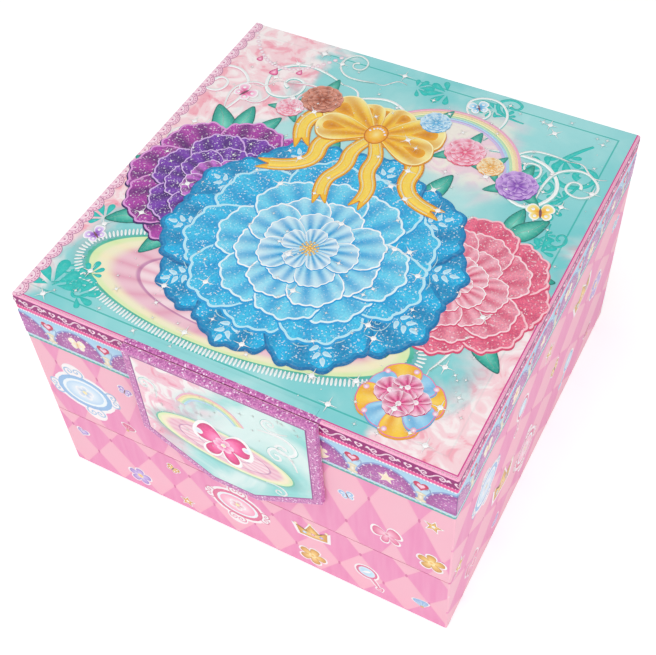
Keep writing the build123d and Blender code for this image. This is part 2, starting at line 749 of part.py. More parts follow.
with BuildPart() as cylinder_arbor:
    with BuildSketch(Plane.XY.offset(lug_bottom)):
        with Locations((0, spindle_y)):
            Circle(spindle_radius)
    extrude(amount=stage_top + lining + joint_gap + turntable_thickness - lug_bottom)
    with BuildSketch(Plane.XY.offset(pinion_bottom)):
        with Locations((0, spindle_y)):
            Polygon(*toothed_outline(pinion_leaves, leaf_module, leaf_addendum, leaf_dedendum,
                                     leaf_root_width, leaf_tip_width, 90), align=None)
    extrude(amount=pinion_length)
cylinder_arbor.part.label = "cylinder_arbor"
export_step(cylinder_arbor.part, "parts/cylinder_arbor.step")

wheel_tooth_root = 0.47 * pi * wheel_module
wheel_tooth_tip = 0.2 * pi * wheel_module
wheel_addendum = 0.8 * wheel_module
wheel_dedendum = 1.1 * wheel_module
with BuildPart() as cylinder_wheel:
    with BuildSketch(Plane.XY.offset(wheel_bottom)):
        with Locations((0, spindle_y)):
            Polygon(*toothed_outline(wheel_teeth, wheel_module, wheel_addendum, wheel_dedendum,
                                     wheel_tooth_root, wheel_tooth_tip, 0), align=None)
            Circle(spindle_radius, mode=Mode.SUBTRACT)
    extrude(amount=wheel_thickness)
cylinder_wheel.part.label = "cylinder_wheel"
export_step(cylinder_wheel.part, "parts/cylinder_wheel.step")

# Each track has pins at its own places round the drum, spaced by a fixed step so that no two tracks match.
pin_step = 137.5
with BuildPart() as music_cylinder:
    with BuildSketch(Plane.XY.offset(cylinder_bottom)):
        with Locations((0, spindle_y)):
            Circle(cylinder_radius)
            Circle(spindle_radius, mode=Mode.SUBTRACT)
    extrude(amount=cylinder_top - cylinder_bottom)
    for track in range(tracks):
        pin_z = cylinder_bottom + (track + 0.5) * track_pitch
        with Locations(Plane(origin=(0, spindle_y, pin_z))):
            with PolarLocations(cylinder_radius, pins_per_track, start_angle=20 + track * pin_step):
                Box(2 * pin_height, pin_width, pin_width)
music_cylinder.part.label = "music_cylinder"
export_step(music_cylinder.part, "parts/music_cylinder.step")

# ---------------------------------------------------------------- the movement: comb, plate and governor
# Hardened steel: one tooth per track, longest at the bass end, screwed to a raised block of the plate.
comb_tip_x = cylinder_radius + pin_height + tooth_gap
comb_root_x = comb_tip_x + comb_long_tooth
comb_end_x = comb_root_x + comb_heel
block_front_y = spindle_y + comb_thickness / 2
comb_screw_zs = (cylinder_bottom + 0.22 * (cylinder_top - cylinder_bottom),
                 cylinder_bottom + 0.78 * (cylinder_top - cylinder_bottom))
comb_screw_x = comb_root_x + comb_heel / 2
with BuildPart() as comb:
    with BuildSketch(facing(spindle_y - comb_thickness / 2, 1)):
        with BuildLine():
            Polyline((comb_tip_x, -cylinder_bottom), (comb_tip_x, -cylinder_top), (comb_end_x, -cylinder_top),
                     (comb_end_x, -cylinder_bottom), close=True)
        make_face()
        for slot in range(1, tracks):
            slot_end = comb_root_x - (comb_long_tooth - comb_short_tooth) * slot / tracks
            with Locations(((comb_tip_x + slot_end) / 2, -cylinder_bottom - slot * track_pitch)):
                Rectangle(slot_end - comb_tip_x, comb_slot, mode=Mode.SUBTRACT)
        with Locations(*[(comb_screw_x, -z) for z in comb_screw_zs]):
            RegularPolygon(machine_screw_radius + running_fit, screw_sides, mode=Mode.SUBTRACT)
    extrude(amount=comb_thickness)
comb.part.label = "comb"
export_step(comb.part, "parts/comb.step")

comb_block_depth = plate_front_y - block_front_y
with BuildPart() as comb_screws:
    for z in comb_screw_zs:
        add(machine_screw(comb_screw_x, spindle_y - comb_thickness / 2, z,
                          comb_thickness + comb_block_depth / 2))
comb_screws.part.label = "comb_screws"
export_step(comb_screws.part, "parts/comb_screws.step")

# The plate is a zinc casting: a flat back, the comb's block, and holes for the barrel's arbor and screws.
governor_right_x = -(cylinder_radius + pin_height + governor_gap)
governor_left_x = governor_right_x - governor_width
ear_screw_x = (governor_left_x + governor_right_x) / 2
ear_screw_z = governor_top - ear_height / 2
fixing_xs = (plate_left + plate_margin, plate_right - plate_margin)
fixing_zs = (plate_bottom + plate_margin, plate_top - plate_margin)
with BuildPart() as movement_plate:
    with BuildSketch(facing(plate_front_y, 1)):
        with Locations(((plate_left + plate_right) / 2, -(plate_bottom + plate_top) / 2)):
            RectangleRounded(plate_right - plate_left, plate_top - plate_bottom, plate_corner)
    extrude(amount=plate_thickness)
    panel((comb_root_x, comb_end_x), (block_front_y, plate_front_y), (cylinder_bottom, cylinder_top))
    with BuildSketch(facing(plate_front_y, 1)):
        with Locations((0, -barrel_z)):
            Circle(arbor_radius + running_fit)
        with Locations((ear_screw_x, -ear_screw_z), *[(x, -z) for x in fixing_xs for z in fixing_zs]):
            RegularPolygon(machine_screw_radius + running_fit, screw_sides)
    extrude(amount=plate_thickness, mode=Mode.SUBTRACT)
    with BuildSketch(facing(block_front_y, 1)):
        with Locations(*[(comb_screw_x, -z) for z in comb_screw_zs]):
            RegularPolygon(machine_screw_radius + running_fit, screw_sides)
    extrude(amount=comb_block_depth / 2, mode=Mode.SUBTRACT)
movement_plate.part.label = "movement_plate"
export_step(movement_plate.part, "parts/movement_plate.step")

# Two wood blocks glued to the back wall hold the plate off it.
with BuildPart() as mounting_blocks:
    for x in fixing_xs:
        panel((x - block_width / 2, x + block_width / 2), (plate_front_y + plate_thickness, inside_back),
              (plate_bottom, plate_top))
    with BuildSketch(facing(plate_front_y + plate_thickness, 1)):
        with Locations(*[(x, -z) for x in fixing_xs for z in fixing_zs]):
            RegularPolygon(machine_screw_radius + running_fit, screw_sides)
    extrude(amount=board, mode=Mode.SUBTRACT)
mounting_blocks.part.label = "mounting_blocks"
export_step(mounting_blocks.part, "parts/mounting_blocks.step")

with BuildPart() as movement_screws:
    for x in fixing_xs:
        for z in fixing_zs:
            add(machine_screw(x, plate_front_y, z, plate_thickness + board))
movement_screws.part.label = "movement_screws"
export_step(movement_screws.part, "parts/movement_screws.step")

# The governor's fan and worm run in a closed housing; its pinion hangs out of the bottom.
fly_x = -(wheel_pitch_radius + fly_pitch_radius + mesh_gap)
wire_tip_x = governor_left_x + wire_tip_inset
wire_tip_z = governor_top - wire_dip
wire_socket_radius = wire_radius + joint_gap
vent_pitch = (governor_top - ear_height - governor_bottom) / (vent_rows + 1)
with BuildPart() as governor_housing:
    panel((governor_left_x, governor_right_x), (governor_front, plate_front_y),
          (governor_bottom, governor_top - ear_height))
    panel((governor_left_x, governor_right_x), (governor_front, spindle_y + governor_head_back),
          (governor_top - ear_height, governor_top))
    panel((governor_left_x, governor_right_x), (plate_front_y - plate_thickness, plate_front_y),
          (governor_top - ear_height, governor_top))
    chamfer(governor_housing.edges().filter_by(Axis.Z).group_by(Axis.Y)[0], governor_edge)
    with BuildSketch(Plane.XY.offset(governor_bottom)):
        with Locations((fly_x, spindle_y)):
            Circle(fly_arbor_radius + running_fit)
    extrude(amount=fly_socket, mode=Mode.SUBTRACT)
    with BuildSketch(Plane.XY.offset(wire_tip_z - wire_socket_clearance)):
        with Locations((wire_tip_x, spindle_y)):
            Circle(wire_socket_radius)
    extrude(amount=governor_top - wire_tip_z + wire_socket_clearance, mode=Mode.SUBTRACT)
    with BuildSketch(facing(plate_front_y - plate_thickness, 1)):
        with Locations((ear_screw_x, -ear_screw_z)):
            RegularPolygon(machine_screw_radius + running_fit, screw_sides)
    extrude(amount=plate_thickness, mode=Mode.SUBTRACT)
    with BuildSketch(facing(governor_front, 1)):
        for row in range(vent_rows):
            with Locations((ear_screw_x, -governor_bottom - (row + 1) * vent_pitch)):
                Rectangle(governor_width - 2 * vent_margin, vent_share * vent_pitch)
    extrude(amount=vent_depth, mode=Mode.SUBTRACT)
governor_housing.part.label = "governor_housing"
export_step(governor_housing.part, "parts/governor_housing.step")

with BuildPart() as governor_screw:
    add(machine_screw(ear_screw_x, plate_front_y - plate_thickness, ear_screw_z, 2 * plate_thickness))
governor_screw.part.label = "governor_screw"
export_step(governor_screw.part, "parts/governor_screw.step")

with BuildPart() as governor_pinion:
    with BuildSketch(Plane.XY.offset(wheel_bottom - fly_shoulder)):
        with Locations((fly_x, spindle_y)):
            Polygon(*toothed_outline(fly_leaves, wheel_module, wheel_addendum, wheel_dedendum,
                                     wheel_tooth_root, wheel_tooth_tip, 180 / fly_leaves), align=None)
    extrude(amount=wheel_thickness + 2 * fly_shoulder)
    with BuildSketch(Plane.XY.offset(wheel_bottom - fly_end_play)):
        with Locations((fly_x, spindle_y)):
            Circle(fly_arbor_radius)
    extrude(amount=governor_bottom + fly_socket - wheel_bottom)
governor_pinion.part.label = "governor_pinion"
export_step(governor_pinion.part, "parts/governor_pinion.step")

# ---------------------------------------------------------------- the winding arbor and key
# The arbor runs from the bridge through the barrel, the plate and the back wall, out to a wing key.
key_seat_y = half_depth + key_shaft_out
with BuildPart() as winding_arbor:
    with BuildSketch(facing(bridge_front_y, 1)):
        with Locations((0, -barrel_z)):
            Circle(arbor_pivot_radius)
    extrude(amount=crown_root_y - bridge_front_y)
    with BuildSketch(facing(bridge_front_y + plate_thickness + joint_gap, 1)):
        with Locations((0, -barrel_z)):
            Circle(arbor_radius)
    extrude(amount=key_seat_y - bridge_front_y - plate_thickness - joint_gap)
winding_arbor.part.label = "winding_arbor"
export_step(winding_arbor.part, "parts/winding_arbor.step")

with BuildPart() as winding_key:
    with BuildSketch(facing(key_seat_y - key_shaft_out / 2, 1)):
        with Locations((0, -barrel_z)):
            Circle(key_hub_radius)
    extrude(amount=key_hub_length)
    wing_y = key_seat_y - key_shaft_out / 2 + key_hub_length
    with BuildSketch(Plane.XY.offset(barrel_z - key_wing_thickness / 2)):
        with Locations((0, wing_y - key_slot_depth / 2)):
            Rectangle(1.6 * key_hub_radius, key_slot_depth)
        for side in (-1, 1):
            wing_centre = (side * key_wing_reach / 2, wing_y + key_wing_rise, 0)
            with Locations(Location(wing_centre, (0, 0, side * key_wing_tilt))):
                Ellipse(0.55 * key_wing_reach, key_wing_half_height)
                Circle(key_wing_hole, mode=Mode.SUBTRACT)
    extrude(amount=key_wing_thickness)
    with BuildSketch(facing(key_seat_y - key_shaft_out / 2, 1)):
        with Locations((0, -barrel_z)):
            Circle(arbor_radius)
    extrude(amount=key_shaft_out / 2, mode=Mode.SUBTRACT)
winding_key.part.label = "winding_key"
export_step(winding_key.part, "parts/winding_key.step")

# ---------------------------------------------------------------- the stop wire
# Shut, the lid's card lining holds it down with its tip in the governor; it lifts clear as the lid opens.
wire_top = lid_ceiling - joint_gap
with BuildPart() as stop_wire:
    with BuildLine():
        FilletPolyline((wire_x, wire_y, wire_top), (wire_x, wire_y, wire_arm_z),
                       (wire_tip_x, spindle_y, wire_arm_z), (wire_tip_x, spindle_y, wire_tip_z),
                       radius=wire_bend)
    with BuildSketch(Plane.XY.offset(wire_top)):
        with Locations((wire_x, wire_y)):
            RegularPolygon(wire_radius, 6)
    sweep()
stop_wire.part.label = "stop_wire"
export_step(stop_wire.part, "parts/stop_wire.step")

# ---------------------------------------------------------------- the turntable
# A moulded disc on the cylinder's arbor, with a tapered post that ends in two ears for the fold pin.
turntable_bottom = stage_top + lining + joint_gap
turntable_top = turntable_bottom + turntable_thickness
ear_gap = tongue_width + 2 * joint_gap
ear_outer = ear_gap / 2 + ear_thickness
post_top = fold_axis_z - ear_radius - joint_gap
with BuildPart() as turntable:
    with BuildSketch(Plane.XY.offset(turntable_bottom)):
        with Locations((0, spindle_y)):
            Circle(turntable_radius)
    extrude(amount=turntable_thickness)
    with BuildSketch(Plane.XY.offset(turntable_top)):
        with Locations((0, spindle_y)):
            Rectangle(2 * ear_outer + 2 * post_flare, 2 * ear_radius + 2 * post_flare)
    with BuildSketch(Plane.XY.offset(post_top)):
        with Locations((0, spindle_y)):
            Rectangle(2 * ear_outer, 2 * ear_radius)
    loft()
    with BuildSketch(Plane.YZ.offset(-ear_outer)):
        with Locations((spindle_y, fold_axis_z)):
            Circle(ear_radius)
        with Locations((spindle_y, (fold_axis_z + post_top) / 2)):
            Rectangle(2 * ear_radius, fold_axis_z - post_top)
    extrude(amount=2 * ear_outer)
    with Locations((0, spindle_y, fold_axis_z)):
        Box(ear_gap, 4 * ear_radius, 2 * (fold_axis_z - post_top), mode=Mode.SUBTRACT)
    with Locations(Plane(origin=(-ear_outer, spindle_y, fold_axis_z), x_dir=(0, 1, 0), z_dir=(1, 0, 0))):
        Cylinder(fold_pin_radius + running_fit, 2 * ear_outer,
                 align=(Align.CENTER, Align.CENTER, Align.MIN), mode=Mode.SUBTRACT)
    with BuildSketch(Plane.XY.offset(turntable_bottom)):
        with Locations((0, spindle_y)):
            Circle(spindle_radius)
    extrude(amount=turntable_thickness, mode=Mode.SUBTRACT)
turntable.part.label = "turntable"
export_step(turntable.part, "parts/turntable.step")

spring_start_x = ear_outer + joint_gap + spring_wire
spring_length = spring_turns * spring_pitch
pin_end_x = spring_start_x + spring_length + 3 * spring_wire
with BuildPart() as fold_pin:
    with Locations(Plane(origin=(-ear_outer - joint_gap, spindle_y, fold_axis_z),
                         x_dir=(0, 1, 0), z_dir=(1, 0, 0))):
        Cylinder(fold_pin_radius, ear_outer + joint_gap + pin_end_x,
                 align=(Align.CENTER, Align.CENTER, Align.MIN))
fold_pin.part.label = "fold_pin"
export_step(fold_pin.part, "parts/fold_pin.step")

coil_steps = 12
coil_points = []
for step in range(int(spring_turns * coil_steps) + 1):
    turn = 2 * pi * step / coil_steps
    coil_points.append((spring_start_x + spring_pitch * step / coil_steps,
                        spindle_y + spring_radius * sin(turn), fold_axis_z + spring_radius * cos(turn)))
upper_leg_end = (spring_start_x, spindle_y - spring_leg, fold_axis_z + spring_radius)
lower_leg_end = (coil_points[-1][0], coil_points[-1][1], turntable_top + joint_gap)
with BuildPart() as fold_spring:
    with BuildLine():
        Polyline(upper_leg_end, *coil_points, lower_leg_end)
    with BuildSketch(facing(upper_leg_end[1], 1)):
        with Locations((upper_leg_end[0], -upper_leg_end[2])):
            RegularPolygon(spring_wire, 4)
    sweep(transition=Transition.RIGHT)
fold_spring.part.label = "fold_spring"
export_step(fold_spring.part, "parts/fold_spring.step")

# ---------------------------------------------------------------- the doll
# A moulded doll in a ring of raised arms, one leg straight, the other bent to its knee. She folds
# forward on her pin, so at rest her axis points to -Y and her face looks down.
head_height = doll_height / 10


def along_doll(level):
    """The plane across the doll's axis at a level, in heads above the fold pin; its Y is her back."""
    return Plane(origin=(0, spindle_y - level * head_height, fold_axis_z), x_dir=(1, 0, 0), z_dir=(0, -1, 0))


# Sections of each form: across, towards her back, level, half width and half depth, in heads.
standing_leg = ((0, 0, 0.85, 0.17, 0.17), (0.02, 0.06, 2.0, 0.29, 0.29), (0.05, 0, 2.8, 0.23, 0.23),
                (0.22, 0, 4.5, 0.4, 0.4))
bent_thigh = ((-0.2, 0, 4.45, 0.36, 0.36), (-0.75, -0.2, 3.9, 0.36, 0.3), (-1.2, -0.35, 3.4, 0.2, 0.2))
bent_shin = ((-1.2, -0.35, 3.55, 0.2, 0.2), (-0.75, -0.26, 3.25, 0.24, 0.2), (-0.2, -0.14, 2.7, 0.12, 0.1))
body = ((0, 0, 4.3, 0.5, 0.4), (0, 0, 4.75, 0.56, 0.45), (0, 0, 5.35, 0.36, 0.3), (0, -0.03, 6.0, 0.5, 0.4),
        (0, 0, 6.45, 0.52, 0.26), (0, 0, 6.55, 0.2, 0.2), (0, -0.03, 6.97, 0.2, 0.22),
        (0, -0.03, 7.3, 0.42, 0.44), (0, 0.03, 7.85, 0.24, 0.28))
hair_bun = ((0, 0.3, 7.45, 0.12, 0.12), (0, 0.45, 7.75, 0.27, 0.25), (0, 0.5, 8.15, 0.12, 0.12))
arms = [((side * 0.42, 0, 6.2, 0.12, 0.16), (side * 0.66, -0.02, 6.5, 0.15, 0.15),
         (side * 1.28, -0.12, 7.7, 0.13, 0.13), (side * 1.05, -0.2, 8.8, 0.12, 0.11),
         (side * 0.2, -0.3, 9.75, 0.08, 0.06)) for side in (-1, 1)]
form_sides = 6
foot_radius = ear_radius - joint_gap
doll_eye = Plane(origin=(-tongue_width / 2, spindle_y, fold_axis_z), x_dir=(0, 1, 0), z_dir=(1, 0, 0))
with BuildPart() as ballerina_doll:
    with Locations(doll_eye):
        Cylinder(foot_radius, tongue_width, align=(Align.CENTER, Align.CENTER, Align.MIN))
    with BuildSketch(along_doll(0)):
        Rectangle(tongue_width, 1.6 * foot_radius)
    extrude(amount=0.75 * head_height)
    with BuildSketch(along_doll(0.7)):
        RegularPolygon(0.42 * head_height, 2 * form_sides)
    extrude(amount=0.18 * head_height)
    for sections in (standing_leg, bent_thigh, bent_shin, body, hair_bun, *arms):
        for across, back, level, half_width, half_depth in sections:
            bearings = [2 * pi * corner / form_sides for corner in range(form_sides)]
            corners = [(half_width * cos(bearing), half_depth * sin(bearing)) for bearing in bearings]
            with BuildSketch(along_doll(level)):
                with Locations((across * head_height, back * head_height)):
                    Polygon(*[(x * head_height, y * head_height) for x, y in corners], align=None)
        loft(ruled=True)
    with Locations(doll_eye):
        Cylinder(fold_pin_radius + running_fit, tongue_width,
                 align=(Align.CENTER, Align.CENTER, Align.MIN), mode=Mode.SUBTRACT)
ballerina_doll.part.label = "ballerina_doll"
export_step(ballerina_doll.part, "parts/ballerina_doll.step")

# The tutu is layers of net, pleated wheels square to her waist, each thinner one wider than the last.
tutu_plane = along_doll(tutu_level / head_height)
tutu_inner = 0.58 * head_height + joint_gap
with BuildPart() as tutu:
    for layer in range(tutu_layers):
        share = layer / (tutu_layers - 1)
        with BuildSketch(tutu_plane):
            RegularPolygon(tutu_radius + share * (tutu_shoulder - tutu_radius), tutu_pleats)
        extrude(amount=(tutu_rim + share * (tutu_thickness - tutu_rim)) / 2, both=True)
    with BuildSketch(tutu_plane.offset(-tutu_thickness)):
        RegularPolygon(tutu_inner, tutu_pleats, major_radius=False)
    extrude(amount=2 * tutu_thickness, mode=Mode.SUBTRACT)
tutu.part.label = "tutu"
export_step(tutu.part, "parts/tutu.step")
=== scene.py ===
import contextlib
import math
import random

import bpy
from mathutils import Matrix, Vector


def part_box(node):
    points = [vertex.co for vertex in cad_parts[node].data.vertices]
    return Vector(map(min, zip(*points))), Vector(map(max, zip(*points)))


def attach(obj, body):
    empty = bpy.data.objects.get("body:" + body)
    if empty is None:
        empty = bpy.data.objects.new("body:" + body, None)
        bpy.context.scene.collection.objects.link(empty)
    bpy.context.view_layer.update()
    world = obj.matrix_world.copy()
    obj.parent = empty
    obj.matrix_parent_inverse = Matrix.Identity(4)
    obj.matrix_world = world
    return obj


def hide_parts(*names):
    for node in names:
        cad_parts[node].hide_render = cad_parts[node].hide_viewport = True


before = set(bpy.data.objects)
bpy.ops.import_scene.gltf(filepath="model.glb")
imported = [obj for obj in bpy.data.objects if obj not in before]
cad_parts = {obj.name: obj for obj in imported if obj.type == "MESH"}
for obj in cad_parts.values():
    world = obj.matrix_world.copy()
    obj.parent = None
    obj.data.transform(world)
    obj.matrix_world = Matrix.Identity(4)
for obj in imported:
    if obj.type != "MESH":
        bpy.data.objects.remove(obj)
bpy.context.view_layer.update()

millimetre = 0.001

# ================================================================= the studio
# A plain pale floor in a white room, with one wide soft lamp above and two weaker ones at the sides.
# The camera looks down on the box's front right corner, from a bit more than arm's length.


def put_in_scene(name, data):
    """A new object that carries this data."""
    piece = bpy.data.objects.new(name, data)
    bpy.context.scene.collection.objects.link(piece)
    return piece


camera_data = bpy.data.cameras.new("camera")
camera_data.lens = 61.454
camera_data.sensor_width = 36.0
camera_data.clip_start = 0.01
camera = put_in_scene("camera", camera_data)
camera.location = (0.13547, -0.23555, 0.37483)
camera.rotation_euler = [math.radians(angle) for angle in (38.707, 2.662, 28.064)]
bpy.context.scene.camera = camera
bpy.context.scene.view_settings.view_transform = "Standard"


def linear(sheet_colour):
    """A printer's sRGB colour such as "#F5A1C8", as the linear values that the sockets take."""
    parts = [int(sheet_colour[place:place + 2], 16) / 255 for place in (1, 3, 5)]
    return tuple(part / 12.92 if part <= 0.04045 else ((part + 0.055) / 1.055) ** 2.4 for part in parts) + (1.0,)


class Wire:
    """What comes out of a node. Arithmetic on wires adds a Math node for each step."""

    def __init__(self, socket):
        self.socket = socket
        self.id_data = socket.id_data

    def beside(self):
        """All that the same node gives out."""
        return [Wire(socket) for socket in self.socket.node.outputs]

    def __abs__(self):
        return calc("ABSOLUTE", self)


def add_node(near, kind, inputs=None, out=0, **settings):
    """Adds a node to the tree that near belongs to, and gives the wire from its output out. inputs pairs
    an input's name or number with a wire, a sheet colour or a plain value."""
    new = near.id_data.nodes.new("ShaderNode" + kind)
    for name, value in settings.items():
        setattr(new, name, value)
    for name, value in (inputs or {}).items():
        if isinstance(value, Wire):
            near.id_data.links.new(value.socket, new.inputs[name])
        else:
            new.inputs[name].default_value = linear(value) if isinstance(value, str) else value
    return Wire(new.outputs[out]) if new.outputs else new


def calc(operation, *values):
    """One step of arithmetic on wires or numbers."""
    near = next(value for value in values if isinstance(value, Wire))
    return add_node(near, "Math", dict(enumerate(values)), operation=operation)


for sign, operation in (("add", "ADD"), ("sub", "SUBTRACT"), ("mul", "MULTIPLY"), ("truediv", "DIVIDE"),
                        ("pow", "POWER"), ("mod", "MODULO"), ("lt", "LESS_THAN"), ("gt", "GREATER_THAN")):
    setattr(Wire, f"__{sign}__", lambda left, right, step=operation: calc(step, left, right))
    setattr(Wire, f"__r{sign}__", lambda right, left, step=operation: calc(step, left, right))


def feed(shader, socket, wire):
    """Joins a wire to one of the shader's sockets."""
    shader.id_data.links.new(wire.socket, shader.inputs[socket])


def select_only(*pieces):
    """Selects these pieces alone; the first of them is the active one."""
    bpy.ops.object.select_all(action="DESELECT")
    for piece in pieces:
        piece.select_set(True)
    bpy.context.view_layer.objects.active = pieces[0]


def primitive(kind, name="", **settings):
    """A new mesh primitive, which is then the only thing selected."""
    bpy.ops.object.select_all(action="DESELECT")
    getattr(bpy.ops.mesh, f"primitive_{kind}_add")(**settings)
    piece = bpy.context.object
    piece.name = name or piece.name
    return piece


@contextlib.contextmanager
def edit_mode():
    """What is done within it is done to the active piece in edit mode."""
    bpy.ops.object.mode_set(mode="EDIT")
    yield
    bpy.ops.object.mode_set(mode="OBJECT")


def soft_lamp(name, place, size, power):
    """A white square area lamp that faces the middle of the box."""
    lamp_data = bpy.data.lights.new(name, "AREA")
    lamp_data.size = size
    lamp_data.energy = power
    lamp = put_in_scene(name, lamp_data)
    lamp.location = place
    lamp.rotation_euler = (Vector((0, 0, 0.05)) - Vector(place)).to_track_quat("-Z", "Y").to_euler()


soft_lamp("lamp over", (-0.15, -0.25, 1.0), 0.9, 4.3)
soft_lamp("lamp right", (0.9, -0.4, 0.5), 0.7, 3.7)
soft_lamp("lamp front", (-0.3, -1.0, 0.45), 0.7, 2.3)


def seen_strength(near, **levels):
    """One strength for the rays that show the room itself, from the camera or by way of metal or glass,
    and another for those that only light the box."""
    rays = {wire.socket.name: wire for wire in add_node(near, "LightPath").beside()}
    seen = calc("MAXIMUM", calc("MAXIMUM", rays["Is Camera Ray"], rays["Is Glossy Ray"]), rays["Is Transmission Ray"])
    return add_node(near, "MapRange", {"Value": seen, **levels})


world = bpy.data.worlds.new("white room")
bpy.context.scene.world = world
world.use_nodes = True
world.node_tree.nodes.clear()
strength = seen_strength(world.node_tree, **{"To Min": 0.38, "To Max": 1.0})
room = add_node(world.node_tree, "Background", {"Color": "#FFFFFF", "Strength": strength})
add_node(world.node_tree, "OutputWorld", {"Surface": room})


def new_finish(name, roughness=0.5, **levels):
    """A material with one Principled shader; constant levels go straight on its sockets."""
    material = bpy.data.materials.new(name)
    material.use_nodes = True
    shader = material.node_tree.nodes["Principled BSDF"]
    shader.inputs["Roughness"].default_value = roughness
    for socket, value in levels.items():
        shader.inputs[socket.replace("_", " ")].default_value = linear(value) if isinstance(value, str) else value
    return material, shader


floor = primitive("plane", "floor", size=6)
material, shader = new_finish("pale floor paint", 0.9, Base_Color="#F6F6F6", Specular_IOR_Level=0.1,
                              Emission_Color="#FFFFFF")
feed(shader, "Emission Strength", seen_strength(shader, **{"To Max": 0.4}))
floor.data.materials.append(material)

# ================================================================= the case's printed paper
# Litho-printed coated paper, glued over grey board and turned in at every edge. Outside it has
# harlequin diamonds in two pinks, with a small stitch where the points meet; inside it is plain pink.


def mix(share, first, second, mode="MIX"):
    """Two colours mixed by a share from 0 to 1."""
    near = next(value for value in (share, first, second) if isinstance(value, Wire))
    return add_node(near, "Mix", {0: share, 6: first, 7: second}, 2, data_type="RGBA", blend_type=mode)


def rise(value, low, high):
    """0 below one level and 1 above another, eased in between."""
    return add_node(value, "MapRange", {"Value": value, "From Min": low, "From Max": high},
                    interpolation_type="SMOOTHSTEP")


def noise(place, scale, detail=2.0, distortion=0.0):
    """Soft noise; the scale is in patches per metre."""
    return add_node(place, "TexNoise", {"Vector": place, "Scale": scale, "Detail": detail, "Distortion": distortion})


def relief(shader, height, depth):
    """Lets a height texture raise the surface by about that many metres."""
    feed(shader, "Normal", add_node(shader, "Bump", {"Height": height, "Distance": depth, "Strength": 1.0}))


def paint(shader, colour):
    feed(shader, "Base Color", colour)


def coordinates(shader):
    """The place on the piece, whole and as its three parts, in metres."""
    place = add_node(shader, "TexCoord", out="Object")
    return place, *add_node(shader, "SeparateXYZ", {0: place}).beside()


def paper_fibre(shader, place):
    """Coated paper over board: a faint orange peel and a slight long ripple."""
    relief(shader, noise(place, 1400, 3.0) * 0.35 + noise(place, 60, 2.0), 0.00006)


outer_skin = 0.0793
box_edge = 0.0797


def outer_faces(across, along):
    """1 on the box's four outer sides and their turned edges, 0 inside it."""
    return calc("MAXIMUM", abs(across), abs(along)) > outer_skin


def plain_pink(place):
    """The paper's unprinted inner side: pale pink with a fine speck."""
    return mix(rise(noise(place, 700, 2.0), 0.68, 0.75), "#F9C9D8", "#FDE6EC")


def harlequin(u, v, width, height, first_u, first_v):
    """The diamond print: sizes and the middle of one pale diamond, in millimetres."""
    step_u = (u - first_u * millimetre) / (width * millimetre)
    step_v = (v - first_v * millimetre) / (height * millimetre)
    rising = step_u + step_v + 0.5
    falling = step_u - step_v + 0.5
    is_odd = abs((calc("FLOOR", rising) + calc("FLOOR", falling)) % 2.0)
    off_rising = rising - calc("ROUND", rising)
    off_falling = falling - calc("ROUND", falling)
    off_u = (off_rising + off_falling) * (width / 2 / 0.5)
    off_v = (off_rising - off_falling) * (height / 2 / 1.15)
    stitch = 1.0 - rise(off_u ** 2.0 + off_v ** 2.0, 0.7, 1.3)
    shadow = 1.0 - rise(calc("MINIMUM", abs(off_rising), abs(off_falling)), 0.0, 0.05)
    return is_odd, stitch, shadow


def printed_board(name, front, side):
    """The case's paper: a diamond print for the faces across the box and one for its sides."""
    material, shader = new_finish(name, 0.42, Specular_IOR_Level=0.12)
    place, x, y, z = coordinates(shader)
    on_side = abs(x) > outer_skin
    is_odd, stitch, shadow = [add_node(place, "Mix", {0: on_side, 2: across, 3: along})
                              for across, along in zip(harlequin(x, z, *front), harlequin(y, z, *side))]
    pale = mix(noise(place, 55, 4.0), "#FDBCCF", "#FAC4D3")
    satin = noise(add_node(place, "Mapping", {"Vector": place, "Scale": (420, 420, 40)}), 1.0, 3.0)
    diamonds = mix(is_odd, pale, mix(satin, "#F08DBE", "#F8AFCF"))
    edged = mix(shadow * 0.25, diamonds, "#F7A6C6")
    stitched = mix(stitch * 0.75, edged, "#DC6FA4")
    scuff = rise(noise(place, 260, 5.0), 0.62, 0.7) * 0.5
    near_edge = rise(calc("MINIMUM", abs(x), abs(y)), outer_skin, box_edge)
    worn = mix(near_edge * scuff, stitched, "#FBE9EE")
    paint(shader, mix(outer_faces(x, y), plain_pink(place), worn))
    paper_fibre(shader, place)
    return material


def dress(material, *names):
    """Gives carried-over nodes their finish."""
    for name in names:
        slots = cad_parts[name].data.materials
        if slots:
            slots[0] = material
        else:
            slots.append(material)


side_diamonds = (27.5, 22.5, -53.0, 69.0)
dress(printed_board("printed front paper", (17.4, 42.0, -62.3, 68.0), side_diamonds), "front_wall")
dress(printed_board("printed drawer paper", (17.4, 27.0, -57.6, 13.5), side_diamonds), "drawer_front")
dress(printed_board("printed case paper", (18.3, 27.0, 0.0, 40.0), side_diamonds),
      "left_wall", "right_wall", "back_wall", "base_board")

# ================================================================= the lid's skirt
# The same coated paper in bands: a magenta strip on top, a pink tape with a row of lace dots,
# pale blue under it for the arcade, and a teal line along the lid's lower edge.
teal_top, sky_top, tape_top = 0.0791, 0.0933, 0.0951
lace_pitch = 1.1


